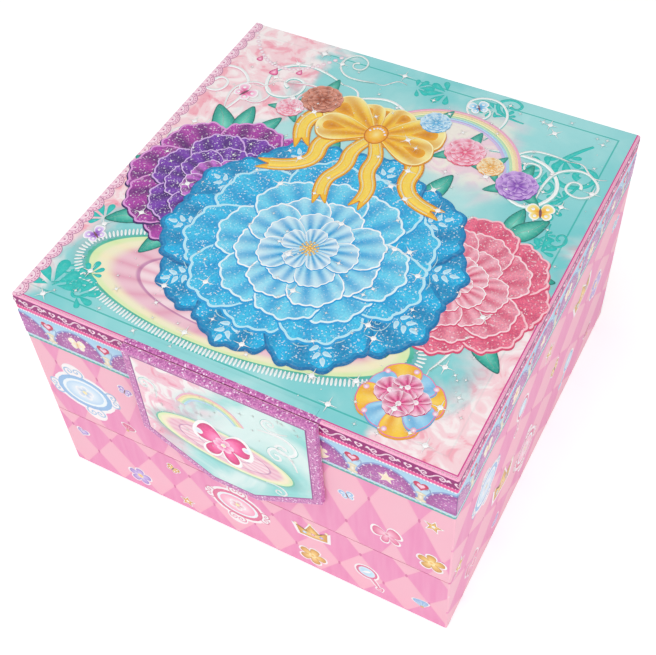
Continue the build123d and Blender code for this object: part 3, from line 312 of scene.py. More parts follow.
def skirt_bands(u, z, place):
    """The printed bands of the skirt by their height above the table, in metres."""
    grain = noise(place, 300, 3.0)
    magenta = mix(grain, "#860060", "#A80A80")
    tape = mix(grain, "#E63B8C", "#F56AAA")
    sky = mix(rise(z, 0.084, 0.0935), "#C9E6F8", "#A9D5F0")
    colour = mix(z > teal_top, mix(grain, "#3F9D97", "#68BDB4"), sky)
    colour = mix(z > sky_top, colour, tape)
    colour = mix(z > tape_top, colour, magenta)
    for row, radius, tint in ((0.0931, 0.42, "#FDF1F6"), (tape_top, 0.28, "#F9C6DE")):
        reach = calc("PINGPONG", u, lace_pitch / 2 * millimetre) ** 2.0 + (z - row) ** 2.0
        colour = mix(reach < (radius * millimetre) ** 2, colour, tint)
    return colour


def skirt_paper(name):
    """Paper with the skirt's bands on its outer side; its coordinates go with it."""
    material, shader = new_finish(name, 0.42, Specular_IOR_Level=0.35)
    place, x, y, z = coordinates(shader)
    bands = skirt_bands(add_node(place, "Mix", {0: abs(x) > outer_skin, 2: x, 3: y}), z, place)
    return material, shader, place, x, y, z, outer_faces(x, y), bands


material, shader, place, *_, outer, bands = skirt_paper("printed skirt paper")
paint(shader, mix(outer, plain_pink(place), bands))
paper_fibre(shader, place)
dress(material, "lid_front_rim", "lid_back_rim", "lid_left_rim", "lid_right_rim")

# ================================================================= the lid's top sheet
# Its ground is an aqua wash with a ruled teal frame, and pink clouds along the left side and in
# the front right corner. Its edges carry on the skirt's magenta strip.


def fringed_rug(u, v, centre, reach_u, reach_v, angle):
    """A round rug lying flat, seen as an oval: its colour, and 1 where it lies."""
    turned = (math.cos(math.radians(angle)), math.sin(math.radians(angle)))
    off_u = u - centre[0] * millimetre
    off_v = v - centre[1] * millimetre
    along = (off_u * turned[0] + off_v * turned[1]) / (reach_u * millimetre)
    across = (off_v * turned[0] - off_u * turned[1]) / (reach_v * millimetre)
    reach = calc("SQRT", along ** 2.0 + across ** 2.0)
    bearing = calc("ARCTAN2", across, along)
    strands = calc("PINGPONG", bearing * 24.0, 1.0)
    lobes = abs(calc("SINE", bearing * 9.0))
    colour = mix(lobes, "#E9A9BF", "#F8D3DE")
    for level, soft, first, second in ((0.34, 0.004, "#C07FA6", "#CF93B8"), (0.365, 0.01, "#EDB2C6", "#FADFE6"),
                                       (0.62, 0.004, "#C07FA6", "#CF93B8"), (0.645, 0.01, "#E9A9BF", "#F3C8D5"),
                                       (0.80, 0.05, "#FAEFC9", "#F6F0CF"), (0.89, 0.025, "#DDF0B4", "#E4F2BE"),
                                       (0.94, 0.004, "#48B39B", "#5CC0A8")):
        ring = mix(lobes, first, second)
        colour = mix(rise(reach, level - soft, level + soft), colour, ring)
    lies = reach < 0.96 + strands * 0.01
    colour = mix(rise(reach, 0.0, 0.5), mix(0.5, colour, "#FFE9F2"), colour)
    return colour, lies, reach


def glitter_flakes(place):
    """Three tosses from 0 to 1 for each flake of glitter; the flakes are 0.4 mm wide."""
    flakes = add_node(place, "TexVoronoi", {"Vector": place, "Scale": 2300.0}, "Color")
    return add_node(place, "SeparateColor", {0: flakes}).beside()


def violet_glitter(place):
    """Glitter glued all over, in two violets; some of its flakes are painted near white as glints."""
    toss = glitter_flakes(place)
    ink = mix(toss[1], "#A84496", "#DF8CC8")
    # Painted glints: a few flakes are turned near white.
    return mix(rise(toss[0], 0.86, 0.97) * 0.85, ink, "#FFF2FF")


def shaded_rug(ground, u, v, rug, shadow_reach, shadow_depth, shadow_ink):
    """The ground with a rug and the shadow round it."""
    ink, lies, reach = fringed_rug(u, v, *rug)
    ground = mix((1.0 - rise(reach, *shadow_reach)) * shadow_depth, ground, shadow_ink)
    return mix(lies, ground, ink)


sheet_middle = (-0.005, 0.0, 0.1)
rainbow_middle = (0.026, 0.047, 0.1)
frame_reach, frame_line = 0.0738, 0.00028
band_start, band_light = 0.0783, 0.0787
hinge_half = 0.0352
top_print = 0.0995
lid_rug = ((-9.0, -50.0), 61.0, 22.0, 3)

material, shader, place, x, y, z, outer, bands = skirt_paper("printed top sheet")
aqua = mix(rise(noise(place, 16, 3.0), 0.3, 0.7), "#76CFD2", "#A5E2E3")
aqua = mix(rise(noise(place, 60, 4.0, 0.6), 0.45, 0.8) * 0.35, aqua, "#DAF5F4")
spread, spread_over_rainbow = [
    add_node(place, "VectorMath", {0: place, 1: centre}, "Value", operation="DISTANCE")
    for centre in (sheet_middle, rainbow_middle)]
glow = 1.0 - rise(spread, 0.02, 0.075)
ground = mix(glow * 0.45, aqua, "#E9FAF6")
drift = (noise(place, 45, 5.0, 0.8) - 0.5) * 0.055
left_edge = y * 0.25 - x + drift
right_edge = x - y * 0.35 + drift
clouded = calc("MAXIMUM", rise(left_edge, 0.050, 0.066), rise(right_edge, 0.070, 0.088))
petals = noise(place, 110, 4.0, 1.2)
rose = mix(rise(petals, 0.40, 0.52), "#FFF3F3", "#FDD9DF")
rose = mix(rise(petals, 0.54, 0.63), rose, "#FAB4C2")
rose = mix(rise(petals, 0.66, 0.73), rose, "#F48CA3")
ground = mix(clouded, ground, rose)
arc = spread_over_rainbow + drift * 0.5
haze = mix(rise(petals, 0.42, 0.58), "#FDF1E6", "#FBD6E2")
ground = mix((1.0 - rise(arc, 0.014, 0.027)) * 0.9, ground, haze)
ground = shaded_rug(ground, x, y, lid_rug, (0.97, 1.1), 0.5, "#3F9C9A")
rule = abs(calc("MAXIMUM", x, abs(y)) - frame_reach) < frame_line
ruled = rule * (1.0 - clouded * 0.9)
ground = mix(ruled * 0.8, ground, "#26B5AD")
edge_reach = calc("MAXIMUM", x - 0.0004, y * -1.0)
ground = mix(edge_reach > band_start, ground, "#D43E90")
ground = mix(edge_reach > band_light, ground, "#F8B0D0")
at_hinge = (y < -band_start) * (abs(x) < hinge_half)
ground = mix(at_hinge, ground, violet_glitter(place))
paint(shader, mix(z > top_print, mix(outer, "#F9C9D8", bands), ground))
paper_fibre(shader, place)
dress(material, "lid_top_board", "flap_hinge_strip")

# ================================================================= the printed ornaments
# Inks and glitter laid on the paper by the printer, modelled as flat leaves one just over another.
# Each shape is drawn once, an outline with rings towards its heart, and then copied over the sheets.
leaf_of_ink = 0.0007
thin_leaf = 0.0006
box_half, sheet_half = 80.0, 79.9


def motif(outline, count, rings, heart=(0.0, 0.0)):
    """A flat shape whose edge runs through outline(turn), turn going from 0 to 1; the outline gives
    across, along and how deep in a fold that place lies. The rings shrink towards the heart."""
    shape = primitive("circle", vertices=count, radius=1)
    edge = [outline(step / count) for step in range(count)]
    for vertex, (across, along, fold) in zip(shape.data.vertices, edge):
        vertex.co = (across, along, 0)
    with edit_mode():
        bpy.ops.mesh.select_all(action="SELECT")
        reached = 1.0
        for ring in rings:
            bpy.ops.mesh.extrude_region()
            bpy.ops.transform.resize(value=(ring / reached,) * 3, center_override=(*heart, 0))
            reached = ring
        bpy.ops.mesh.edge_face_add()
        bpy.ops.mesh.poke()
    points = [(vertex.co.x, vertex.co.y) for vertex in shape.data.vertices]
    shares = (1.0, *rings, 0.0)
    marks = []
    for number, (across, along) in enumerate(points):
        ring = min(number // count, len(rings) + 1)
        if ring > len(rings):
            marks.append((0.0, 0.0))
            continue
        share = shares[ring]
        home = [heart[axis] + (point - heart[axis]) / share for axis, point in enumerate((across, along))]
        near = min(edge, key=lambda place: (place[0] - home[0]) ** 2 + (place[1] - home[1]) ** 2)
        marks.append((share, near[2]))
    points[-1] = heart
    faces = [tuple(face.vertices) if face.normal.z > 0 else tuple(reversed(face.vertices))
             for face in shape.data.polygons]
    bpy.data.objects.remove(shape)
    return points, faces, marks


def stroke(*bends):
    """A pen stroke through bends of (across, along, width), as a motif; its middle is its heart."""
    line = bpy.data.curves.new("stroke", "CURVE")
    line.dimensions = "3D"
    line.bevel_depth = 0.5
    line.bevel_resolution = 0
    line.resolution_u = 5
    spline = line.splines.new("NURBS")
    spline.points.add(len(bends) - 1)
    for point, (across, along, width) in zip(spline.points, bends):
        point.co = (across, along, 0, 1)
        point.radius = width
    spline.order_u = 3
    spline.use_endpoint_u = True
    drawn = put_in_scene("stroke", line)
    mesh = bpy.data.meshes.new_from_object(drawn)
    points = [(vertex.co.x, vertex.co.y) for vertex in mesh.vertices]
    marks = [(0.0 if vertex.co.z > 1e-6 else 1.0, 0.0) for vertex in mesh.vertices]
    below = {vertex.index for vertex in mesh.vertices if vertex.co.z < -1e-6}
    faces = [tuple(face.vertices) if face.normal.z > 0 else tuple(reversed(face.vertices))
             for face in mesh.polygons if not below & set(face.vertices)]
    bpy.data.objects.remove(drawn)
    return points, faces, marks


def new_sheet(reach=sheet_half, ends=math.inf):
    """An empty sheet that is cut off at that many millimetres to each side, and at its ends."""
    return {"points": [], "faces": [], "inks": [], "glitter": [], "puff": [], "reach": reach, "ends": ends}


def blend_inks(first, second, share):
    return tuple(a + (b - a) * share for a, b in zip(first, second))


def stamp(sheet, shape, place, size, inks, turn=0.0, stretch=1.0, fold=None, glitter=0.0, level=0.02):
    """Copies a motif onto a sheet, all in millimetres: inks go from its rim to its heart, fold is the
    ink deep in its pleats, and level is how high over the paper it lies."""
    points, faces, marks = shape
    first = len(sheet["points"])
    colours = [linear(ink) for ink in inks]
    deep = linear(fold) if fold else None
    cosine, sine = math.cos(math.radians(turn)), math.sin(math.radians(turn))
    for (across, along), (share, depth) in zip(points, marks):
        along *= stretch
        across, along = across * cosine - along * sine, across * sine + along * cosine
        sheet["points"].append((max(-sheet["reach"], min(sheet["reach"], place[0] + size * across)),
                                max(-sheet["ends"], min(sheet["ends"], place[1] + size * along)), level))
        step = (1.0 - share) * (len(colours) - 1)
        low = max(0, min(int(step), len(colours) - 2))
        ink = blend_inks(colours[low], colours[min(low + 1, len(colours) - 1)], step - low)
        if deep:
            ink = blend_inks(ink, deep, depth * min(1.0, 1.6 - share))
        sheet["inks"].append(ink)
        sheet["glitter"].append(glitter)
        sheet["puff"].append((1.0 - share) - 0.8 * depth)
    for face in faces:
        corners = [first + corner for corner in (reversed(face) if stretch < 0 else face)]
        if all(len({round(sheet["points"][corner][axis], 4) for corner in corners}) > 1 for axis in (0, 1)):
            sheet["faces"].append(corners)


def ink_paper(name, roughness):
    """Offset ink under a gloss varnish; where glitter was dusted on, flakes 0.4 mm wide with painted glints and
    shade.
    """
    material, shader = new_finish(name, roughness, Specular_IOR_Level=0.3, Coat_Weight=0.15, Coat_Roughness=0.25)
    place = coordinates(shader)[0]
    ink = add_node(shader, "Attribute", out="Color", attribute_name="ink")
    dusted = add_node(shader, "Attribute", out="Fac", attribute_name="glitter")
    puff = add_node(shader, "Attribute", out="Fac", attribute_name="puff")
    grain = noise(place, 900, 3.0)
    softened = mix(rise(grain, 0.45, 0.8) * 0.1, ink, "#FFFFFF")
    toss = glitter_flakes(place)
    # Painted glints and painted shade: some flakes are painted near white, as if catching the light, and others
    # darker, as if turned from it.
    bright = rise(toss[0], 0.88, 0.97) * dusted
    shaded_flakes = (1.0 - rise(toss[1], 0.15, 0.65)) * (dusted * 0.5)
    ink_with_shaded_flakes = mix(shaded_flakes, softened, mix(1.0, ink, "#C4CBE4", "MULTIPLY"))
    paint(shader, mix(bright, ink_with_shaded_flakes, mix(0.6, ink, "#FFFFFF")))
    feed(shader, "Roughness", roughness - dusted * (roughness - 0.32))
    relief(shader, puff * 0.9 + grain * 0.06 + toss[2] * dusted * 0.35, 0.00022)
    return material


print_ink = ink_paper("offset ink with glitter", 0.4)

# Each face of the box as a matrix: its columns are where a sheet's across, along and thickness go.
faces_of_box = {
    "front": Matrix(((1, 0, 0, 0), (0, 0, -1, -box_half), (0, 1, 0, 0), (0, 0, 0, 1))),
    "right": Matrix(((0, 0, 1, box_half), (1, 0, 0, 0), (0, 1, 0, 0), (0, 0, 0, 1))),
    "back": Matrix(((-1, 0, 0, 0), (0, 0, 1, box_half), (0, 1, 0, 0), (0, 0, 0, 1))),
    "left": Matrix(((0, 0, -1, -box_half), (-1, 0, 0, 0), (0, 1, 0, 0), (0, 0, 0, 1))),
    "top": Matrix.Translation((0, 0, 100)),
    "flap": Matrix(((1, 0, 0, 0), (0, 0, -1, -82.8), (0, 1, 0, 0), (0, 0, 0, 1))),
}


def lay(sheet, name, face, body):
    """Glues a finished sheet onto its face and lets it ride with that body."""
    mesh = bpy.data.meshes.new(name)
    mesh.from_pydata(sheet["points"], [], sheet["faces"])
    mesh.transform(Matrix.Scale(millimetre, 4) @ faces_of_box[face])
    ink = mesh.attributes.new("ink", "FLOAT_COLOR", "POINT")
    ink.data.foreach_set("color", [part for colour in sheet["inks"] for part in colour])
    for attribute in ("glitter", "puff"):
        levels = mesh.attributes.new(attribute, "FLOAT", "POINT")
        levels.data.foreach_set("value", sheet[attribute])
    mesh.polygons.foreach_set("use_smooth", [True] * len(mesh.polygons))
    mesh.materials.append(print_ink)
    piece = put_in_scene(name, mesh)
    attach(piece, body)


def turn_point(turn):
    return math.cos(2 * math.pi * turn), math.sin(2 * math.pi * turn)


def petal_edge(width, full=0.5, frill=0.0, pleats=9):
    """A petal from its foot at 0 to its tip at 1: full moves its width to the tip; each of its pleats
    ends in two scallops, as deep as frill."""
    def edge(turn):
        cosine, sine = turn_point(turn)
        along = 0.5 - 0.5 * cosine
        across = width * sine * ((1 - full) + full * 1.6 * along)
        wave = math.cos(2 * math.pi * pleats * (turn - 0.5) * 1.4)
        reach = along ** 1.5
        grown = 1 + frill * (0.5 * wave + abs(wave)) * reach
        return along * grown, across * grown, (0.5 - 0.5 * wave) * reach if frill else 0.0
    return edge


def star_edge(inner, count):
    def edge(turn):
        step = round(turn * count * 2)
        reach = 1.0 if step % 2 == 0 else inner
        return reach * math.cos(math.pi * step / count), reach * math.sin(math.pi * step / count), 0.0
    return edge


def heart_edge(turn):
    angle = 2 * math.pi * turn
    along = 13 * math.cos(angle) - 5 * math.cos(2 * angle) - 2 * math.cos(3 * angle) - math.cos(4 * angle)
    return math.sin(angle) ** 3 * 0.55, along / 29.0, 0.0


def leaf_edge(turn):
    cosine, sine = turn_point(turn)
    along = 0.5 - 0.5 * cosine
    return along, 0.24 * sine * (1.25 - 0.8 * along), 0.0


def round_edge(turn):
    return *turn_point(turn), 0.0


def arch_edge(turn):
    """A half round, closed by its foot."""
    return round_edge(turn) if turn <= 0.5 else (-1 + 4 * (turn - 0.5), 0.0, 0.0)


disc = motif(round_edge, 20, (0.8, 0.45))
bead = motif(round_edge, 8, (0.5,))
petal = motif(petal_edge(0.36), 28, (0.9, 0.65, 0.35), (0.06, 0.0))
leaf = motif(leaf_edge, 20, (0.75, 0.3), (0.35, 0.0))
heart_shape = motif(heart_edge, 28, (0.8, 0.4), (0.0, 0.05))
sparkle = motif(star_edge(0.11, 4), 8, (0.4,))
star = motif(star_edge(0.45, 5), 10, (0.7, 0.3))
arch = motif(arch_edge, 32, (0.9, 0.5), (0.0, 0.4))
tear = motif(petal_edge(0.3, 0.9), 20, (0.75, 0.4), (0.6, 0.0))
curl = stroke((0, 0, 0.05), (0.3, 0.02, 0.08), (0.75, 0.2, 0.11), (0.85, 0.62, 0.1), (0.5, 0.85, 0.09),
              (0.2, 0.66, 0.08), (0.32, 0.42, 0.08), (0.56, 0.5, 0.1), (0.5, 0.62, 0.12))


def polar(place, reach, turn):
    """The point that far from a place, in that direction in degrees."""
    return place[0] + reach * math.cos(math.radians(turn)), place[1] + reach * math.sin(math.radians(turn))


def leaf_fan(sheet, place, size, turn, inks, level):
    """Five leaves spread like a fan, as an ornament's tip."""
    for step, angle in enumerate((-84, -42, 0, 42, 84)):
        stamp(sheet, tear, polar(place, size * 0.16, turn + angle), size * (1 - 0.004 * abs(angle)), inks,
              turn + angle, 0.72, level=level + leaf_of_ink * (step % 2))


def butterfly(sheet, place, size, wings, body_ink, turn, level, rim="#FFFFFF"):
    """A small butterfly seen from above, with a white cut line round it."""
    lobes = ((38, 0.62), (142, 0.62), (-35, 0.46), (215, 0.46))
    for number, (angle, reach) in enumerate(lobes):
        stamp(sheet, petal, place, size * (reach + 0.07), (rim,), turn + angle, 1.25,
              level=level + thin_leaf * number)
        stamp(sheet, petal, place, size * reach, wings, turn + angle, 1.15, level=level + 0.003 + thin_leaf * number)
        stamp(sheet, disc, polar(place, size * reach * 0.62, turn + angle), size * 0.08, ("#FFFFFF",),
              level=level + 0.007)
    stamp(sheet, disc, place, size * 0.28, (body_ink,), turn + 90, 0.22, level=level + 0.008)


def flower(sheet, place, size, count, inks, middle, turn, level, rim=None):
    """A simple flower: petals side by side, then its button."""
    for step in range(count if rim else 0):
        stamp(sheet, petal, place, size * 1.13, (rim,), turn + step * 360 / count, 1.1,
              level=level + thin_leaf * step)
    for step in range(count):
        stamp(sheet, petal, place, size, inks, turn + step * 360 / count,
              level=level + 0.0045 + thin_leaf * step)
    stamp(sheet, disc, place, size * 0.26, middle, level=level + 0.01)


def bow(sheet, place, size, inks, turn, level, rim="#FFFFFF"):
    """A ribbon bow: two loops, two tails and the knot."""
    for number, (angle, reach, wide) in enumerate(((-62, 0.72, 0.7), (242, 0.72, 0.7), (18, 0.66, 1.5),
                                                   (162, 0.66, 1.5))):
        stamp(sheet, petal, place, size * (reach + 0.09), (rim,), turn + angle, wide * 1.1,
              level=level + thin_leaf * number)
        stamp(sheet, petal, place, size * reach, inks, turn + angle, wide, level=level + 0.003 + thin_leaf * number)
    stamp(sheet, disc, place, size * 0.13, (inks[-1], inks[0]), turn, 1.2, level=level + 0.006)

# ================================================================= the skirt's arcade
# One side's print, repeated on all four: pink scrolls with little hearts on the magenta strip, then
# six glitter arches and a half one at each corner, with a cream column and a heart between them.
band = new_sheet(79.95)
scroll_pitch, scroll_row, heart_row = 16.0, 97.3, 97.4
scroll = stroke((0, 0, 0.6), (1.0, 1.3, 0.66), (3.0, 1.45, 0.7), (4.1, 0.2, 0.7), (3.1, -1.0, 0.66),
                (2.0, -0.3, 0.62), (2.5, 0.5, 0.62), (3.1, 0.15, 0.66))
for repeat in range(-5, 6):
    middle = repeat * scroll_pitch
    for turn in (0, 180):
        stamp(band, scroll, (middle + scroll_pitch / 2, scroll_row), 1.0, ("#FBC4E0", "#FFE9F5"), turn, level=0.02)
    for side in (-1, 1):
        stamp(band, tear, (middle + side * 2.1, scroll_row), 1.7, ("#FBD4E8", "#FFF0F8"), 90 - side * 60, 1.2,
              level=0.022)
        stamp(band, bead, (middle + side * 3.7, scroll_row), 0.42, ("#FFE9F5",), level=0.024)
    stamp(band, heart_shape, (middle, heart_row), 2.5, ("#FFEAF4", "#FFD0E6"), level=0.03)
    stamp(band, heart_shape, (middle, heart_row), 1.2, ("#A80A80",), level=0.032)
arch_pitch, arch_foot = 22.8, 80.3
cream = ("#FFF6DF", "#FFE3C2")
for bay in range(-4, 4):
    middle = (bay + 0.5) * arch_pitch
    for size, inks, stretch, glitter, level in ((10.6, ("#8E9FD6", "#B9A3D8"), 1.08, 0.0, 0.02),
                                                (10.0, ("#8A5AA8",), 1.07, 0.0, 0.023),
                                                (9.7, ("#A8489E", "#C263B4", "#D07FC4"), 1.06, 1.0, 0.026)):
        stamp(band, arch, (middle, arch_foot), size, inks, 0, stretch, None, glitter, level)
    for turn in range(20, 180, 20):
        edge = (middle + 9.9 * math.cos(math.radians(turn)), arch_foot + 10.6 * math.sin(math.radians(turn)))
        stamp(band, bead, edge, 0.42, ("#F7E7F4",), level=0.034)
    if bay in (-4, 3):
        continue
    if bay % 3 == 0:
        butterfly(band, (middle, 85.2), 5.6, cream, "#F3C98F", 0.0, 0.036, "#FFF6DF")
    elif bay % 3 == 1:
        flower(band, (middle, 85.0), 3.0, 5, cream, ("#F3B978",), 90, 0.036)
        for side in (-1, 1):
            stamp(band, leaf, (middle, 81.2), 4.2, cream, 90 - side * 55, level=0.036)
    else:
        stamp(band, star, (middle, 85.3), 3.2, cream, 90, level=0.036)
        for side in (-1, 1):
            stamp(band, sparkle, (middle + side * 5.2, 83.2), 1.7, ("#FFFFFF",), level=0.036)
for post in range(-3, 4):
    middle = post * arch_pitch
    for shape, along, size, inks, turn, stretch, level in (
            (disc, 81.0, 1.9, ("#E9D9B4", "#FFF8E4"), 0, 0.45, 0.04),
            (disc, 82.6, 0.95, ("#E3CFA8", "#FFFBEF"), 0, 2.2, 0.042),
            (disc, 84.6, 1.7, ("#E9D9B4", "#FFF8E4"), 0, 0.4, 0.044),
            (tear, 80.6, 1.2, ("#FFFFFF",), -90, 1.0, 0.044),
            (heart_shape, 88.9, 5.4, ("#C9DCF5", "#EAF4FF"), 0, 1.0, 0.03),
            (heart_shape, 88.9, 4.6, ("#C4134E", "#E0245F"), 0, 1.0, 0.044),
            (heart_shape, 88.9, 2.5, ("#FFC2DC", "#FFE1EE"), 0, 1.0, 0.05)):
        stamp(band, shape, (middle, along), size, inks, turn, stretch, level=level)
    for side in (-1, 1):
        stamp(band, curl, (middle + side * 2.6, 86.4), 2.6, ("#7C9BDC", "#A9C4F0"), 60 if side > 0 else 120,
              side, level=0.03)
for tick in range(80):
    stamp(band, bead, (-79 + tick * 2, 79.4), 0.55, ("#CFEDE8",), level=0.03)
for face in ("front", "right", "back", "left"):
    lay(band, "skirt_print_" + face, face, "lid")

# ================================================================= the lid's picture
# Three full blossoms in violet, blue and rose, their frilled petals dusted with glitter, lie on a
# fringed rug under a golden bow. Pearls, curls, leaves and butterflies fill the rest of the sheet.


frilled = motif(petal_edge(0.5, 0.75, 0.03, 7), 128, (0.95, 0.82, 0.6, 0.36, 0.16), (0.04, 0.0))
frill_rim = motif(petal_edge(0.5, 0.75, 0.03, 7), 128, (), (0.04, 0.0))
small_frill = motif(petal_edge(0.5, 0.75, 0.05, 4), 44, (0.85, 0.4), (0.04, 0.0))
satin = motif(petal_edge(0.44, 0.8, 0.008, 4), 72, (0.93, 0.75, 0.5, 0.25), (0.04, 0.0))
fine_curl = stroke((0, 0, 0.016), (0.3, 0.02, 0.036), (0.78, 0.18, 0.046), (0.92, 0.62, 0.046),
                   (0.5, 0.92, 0.042), (0.16, 0.66, 0.04), (0.3, 0.36, 0.038), (0.58, 0.42, 0.036),
                   (0.56, 0.62, 0.036), (0.42, 0.6, 0.05))
fine_wave = stroke((0, 0, 0.016), (0.25, 0.16, 0.036), (0.5, 0.0, 0.042), (0.78, -0.15, 0.036), (1, 0.04, 0.016))


def layered_petal(sheet, shape, foot, reach, turn, wide, inks, fold, rim, glitter, level, shade=0.5):
    """One petal with its light edge and the shadow it throws on the petals below."""
    under = frill_rim if shape is frilled else shape
    stamp(sheet, under, polar(foot, shade, 290), reach * 1.01, (fold,), turn, wide * 1.01, level=level)
    stamp(sheet, under, foot, reach, (rim,), turn, wide, level=level + leaf_of_ink)
    stamp(sheet, shape, foot, reach * 0.978, inks, turn, wide * 0.972, fold, glitter, level + 2 * leaf_of_ink)


def foreshortened(reach, angle):
    """A blossom is a bit wider than deep, as if seen at a slant."""
    return reach * (0.92 + 0.08 * abs(math.cos(math.radians(angle))))


def blossom(sheet, heart, rings, fold, level, first_turn=0.0, shape=frilled):
    """A full double blossom: rings of petals, each ring shorter, paler and over the last."""
    for number, (count, reach, wide, inks, rim, glitter) in enumerate(rings):
        for step in range(count):
            angle = first_turn + (step + 0.5 * number) * 360 / count + 6 * math.sin(5 * step + number)
            grown = foreshortened(reach, angle) * (1 + 0.035 * math.sin(7 * step + 2 * number))
            rank = 1 if count % 3 == 1 and step == count - 1 else step % 3
            layered_petal(sheet, shape, heart, grown, angle, wide, inks, fold, rim, glitter,
                          level + 3 * leaf_of_ink * rank, 0.2 + 0.01 * reach)
        level += 9 * leaf_of_ink
    return level


def stamens(sheet, heart, reach, level):
    """Golden stamens in three rings round a button."""
    for ring, (count, share, size) in enumerate(((13, 1.0, 0.15), (9, 0.66, 0.18), (5, 0.34, 0.21))):
        for step in range(count):
            stamp(sheet, bead, polar(heart, reach * share, step * 360 / count + ring * 17), reach * size,
                  ("#D98614", "#FFD45E", "#FFF2B0"), level=level + leaf_of_ink * ring)
    stamp(sheet, bead, heart, reach * 0.2, ("#D98614", "#FFE27A"), level=level + 3 * leaf_of_ink)


# The violet blossom at the back on the left, and the rose-coloured one on the right.
for name, heart, fold, first_turn, button, rings in (
        ("violet_blossom", (-43, -7), "#3A1260", 20, 2.6, (
            (9, 35, 0.72, ("#C24AB4", "#AE34A4", "#962692", "#7A1C80"), "#E19ADB", 1.0),
            (8, 28, 0.74, ("#8A45BC", "#7434AE", "#5E2298", "#481780"), "#D9B4EC", 1.0),
            (8, 21, 0.76, ("#8E4CC2", "#7A38B4", "#64279E", "#501C88"), "#DDBEF0", 1.0),
            (7, 14.5, 0.8, ("#D97FDC", "#BE58CC", "#A43CB6", "#862A9A"), "#F3D9FB", 0.6),
            (5, 8.5, 0.86, ("#EDB4EE", "#D27CD8", "#B254BE"), "#F9EAFD", 0.3))),
        ("rose_blossom", (47, -13), "#DC4A72", 5, 2.4, (
            (9, 32, 0.72, ("#FB7C98", "#F8658A", "#F0527A", "#E04468"), "#FFC8D2", 1.0),
            (8, 25.5, 0.74, ("#FDA4B6", "#FB8CA5", "#F67696", "#EC6488"), "#FFDDE4", 0.8),
            (8, 19, 0.76, ("#FEBDCB", "#FCA6B9", "#F98EA6", "#F27898"), "#FFE9EE", 0.5),
            (7, 13, 0.8, ("#FFD2DC", "#FEBAC9", "#FB9CB2", "#F5859E"), "#FFFFFF", 0.3),
            (5, 7.6, 0.86, ("#FFE5EB", "#FFC7D3", "#FBA2B6"), "#FFFFFF", 0.2)))):
    sheet = new_sheet()
    stamens(sheet, heart, button, blossom(sheet, heart, rings, fold, 0.100, first_turn))
    lay(sheet, name, "top", "lid")

# The blue blossom, over both, with sprigs of pale leaves and fine curls on its outer petals.
blue = new_sheet()
blue_heart = (-1, -20)
outer_petals = (10, 52, 0.68, ("#22C4F4", "#08B0EC", "#04A2E0", "#0292D0"), "#0888C0", 1.0)
sprig_level = blossom(blue, blue_heart, (outer_petals,), "#0A6FA8", 0.136, 11)
for step in range(10):
    bearing = 11 + step * 36 + 6 * math.sin(5 * step)
    sprig = polar(blue_heart, foreshortened(45.0, bearing), bearing)
    for rank, (side, angle, size) in enumerate(((-1, 62, 8.5), (1, 62, 8.5), (-1, 104, 6), (1, 104, 6))):
        stamp(blue, fine_curl, polar(sprig, -4.0, bearing), size, ("#A5E6FA", "#DDF6FE"),
              bearing + angle * side, side, level=sprig_level + leaf_of_ink * rank)
    stamp(blue, fine_wave, polar(sprig, -5.0, bearing), 7.0, ("#DDF6FE",), bearing, 0.5,
          level=sprig_level + 4 * leaf_of_ink)
    for number, (along, angle) in enumerate(((-2.4, -62), (-2.4, 62), (0.2, -48), (0.2, 48), (2.2, 0))):
        stamp(blue, leaf, polar(polar(sprig, along, bearing), 0.7, bearing + angle), 3.4, ("#D4F1FC", "#A6DEF5"),
              bearing + angle, 1.15, level=sprig_level + leaf_of_ink * (5 + number % 2))
blue_top = blossom(blue, blue_heart, (
    (9, 42.5, 0.7, ("#48D2F8", "#18BEF0", "#08AEE6", "#049ED8"), "#BDECFB", 1.0),
    (8, 33.5, 0.74, ("#82E2FA", "#4CD0F6", "#22C0EE", "#0EB0E4"), "#E6F9FF", 0.6),
    (8, 25, 0.76, ("#B4ECFB", "#7EDCF8", "#48CAF2", "#26B8E8"), "#FFFFFF", 0.35),
    (7, 17, 0.8, ("#DCF5FD", "#AEE5F8", "#7AD2F3", "#52BEEA"), "#FFFFFF", 0.2),
    (5, 10, 0.86, ("#EEFBFF", "#C6EDFB", "#8CD7F4"), "#FFFFFF", 0.2)), "#1A9FDC", sprig_level + 9 * leaf_of_ink, 29)
stamens(blue, blue_heart, 3.0, blue_top)
lay(blue, "blue_blossom", "top", "lid")

# Teal curls in the corners inside the ruled frame, and fine white curls over the wash.
picture = new_sheet(ends=sheet_half)
teal_inks = ("#19BDB6", "#3CCCC4")
corner_curls = (((67, 67), 24, 225, 1), ((69, 46), 17, 262, -1), ((40, 68), 15, 182, -1), ((67, 25), 11, 265, 1),
                ((-70, -71), 15, 62, -1), ((-71, -70), 11, 20, 1))
fan_level = 0.0222
for number, (place, size, turn, side) in enumerate(corner_curls):
    stamp(picture, curl, place, size, teal_inks, turn, side * 0.9, level=0.0160 + leaf_of_ink * number)
    for share, angle, grown in ((0.5, 70, 0.3), (0.86, -30, 0.34)):
        leaf_fan(picture, polar(place, size * share, turn + side * 16 * share), size * grown, turn + side * angle,
                 teal_inks, fan_level)
        fan_level += 2 * leaf_of_ink
for place, size, turn in (((-70, -71), 10, 100), ((-60, -71), 7, 30), ((-72, -38), 7, 140), ((-66, -33), 5, 40),
                          ((68, 12), 6, 80), ((8, 72), 8, 200), ((-4, 70), 6, 20)):
    leaf_fan(picture, place, size, turn, teal_inks, fan_level)
    fan_level += 2 * leaf_of_ink
white_curls = (((-66, 24), 26, 62, 1), ((-64, 28), 18, 120, -1), ((-30, 60), 26, 150, 1), ((-26, 52), 24, 40, -1),
               ((34, 50), 28, 20, -1), ((30, 54), 20, 60, 1), ((58, 34), 20, 100, -1), ((-50, 52), 16, 30, -1),
               ((56, -48), 24, 62, 1), ((62, 56), 19, 165, 1), ((-20, 66), 16, 200, -1))
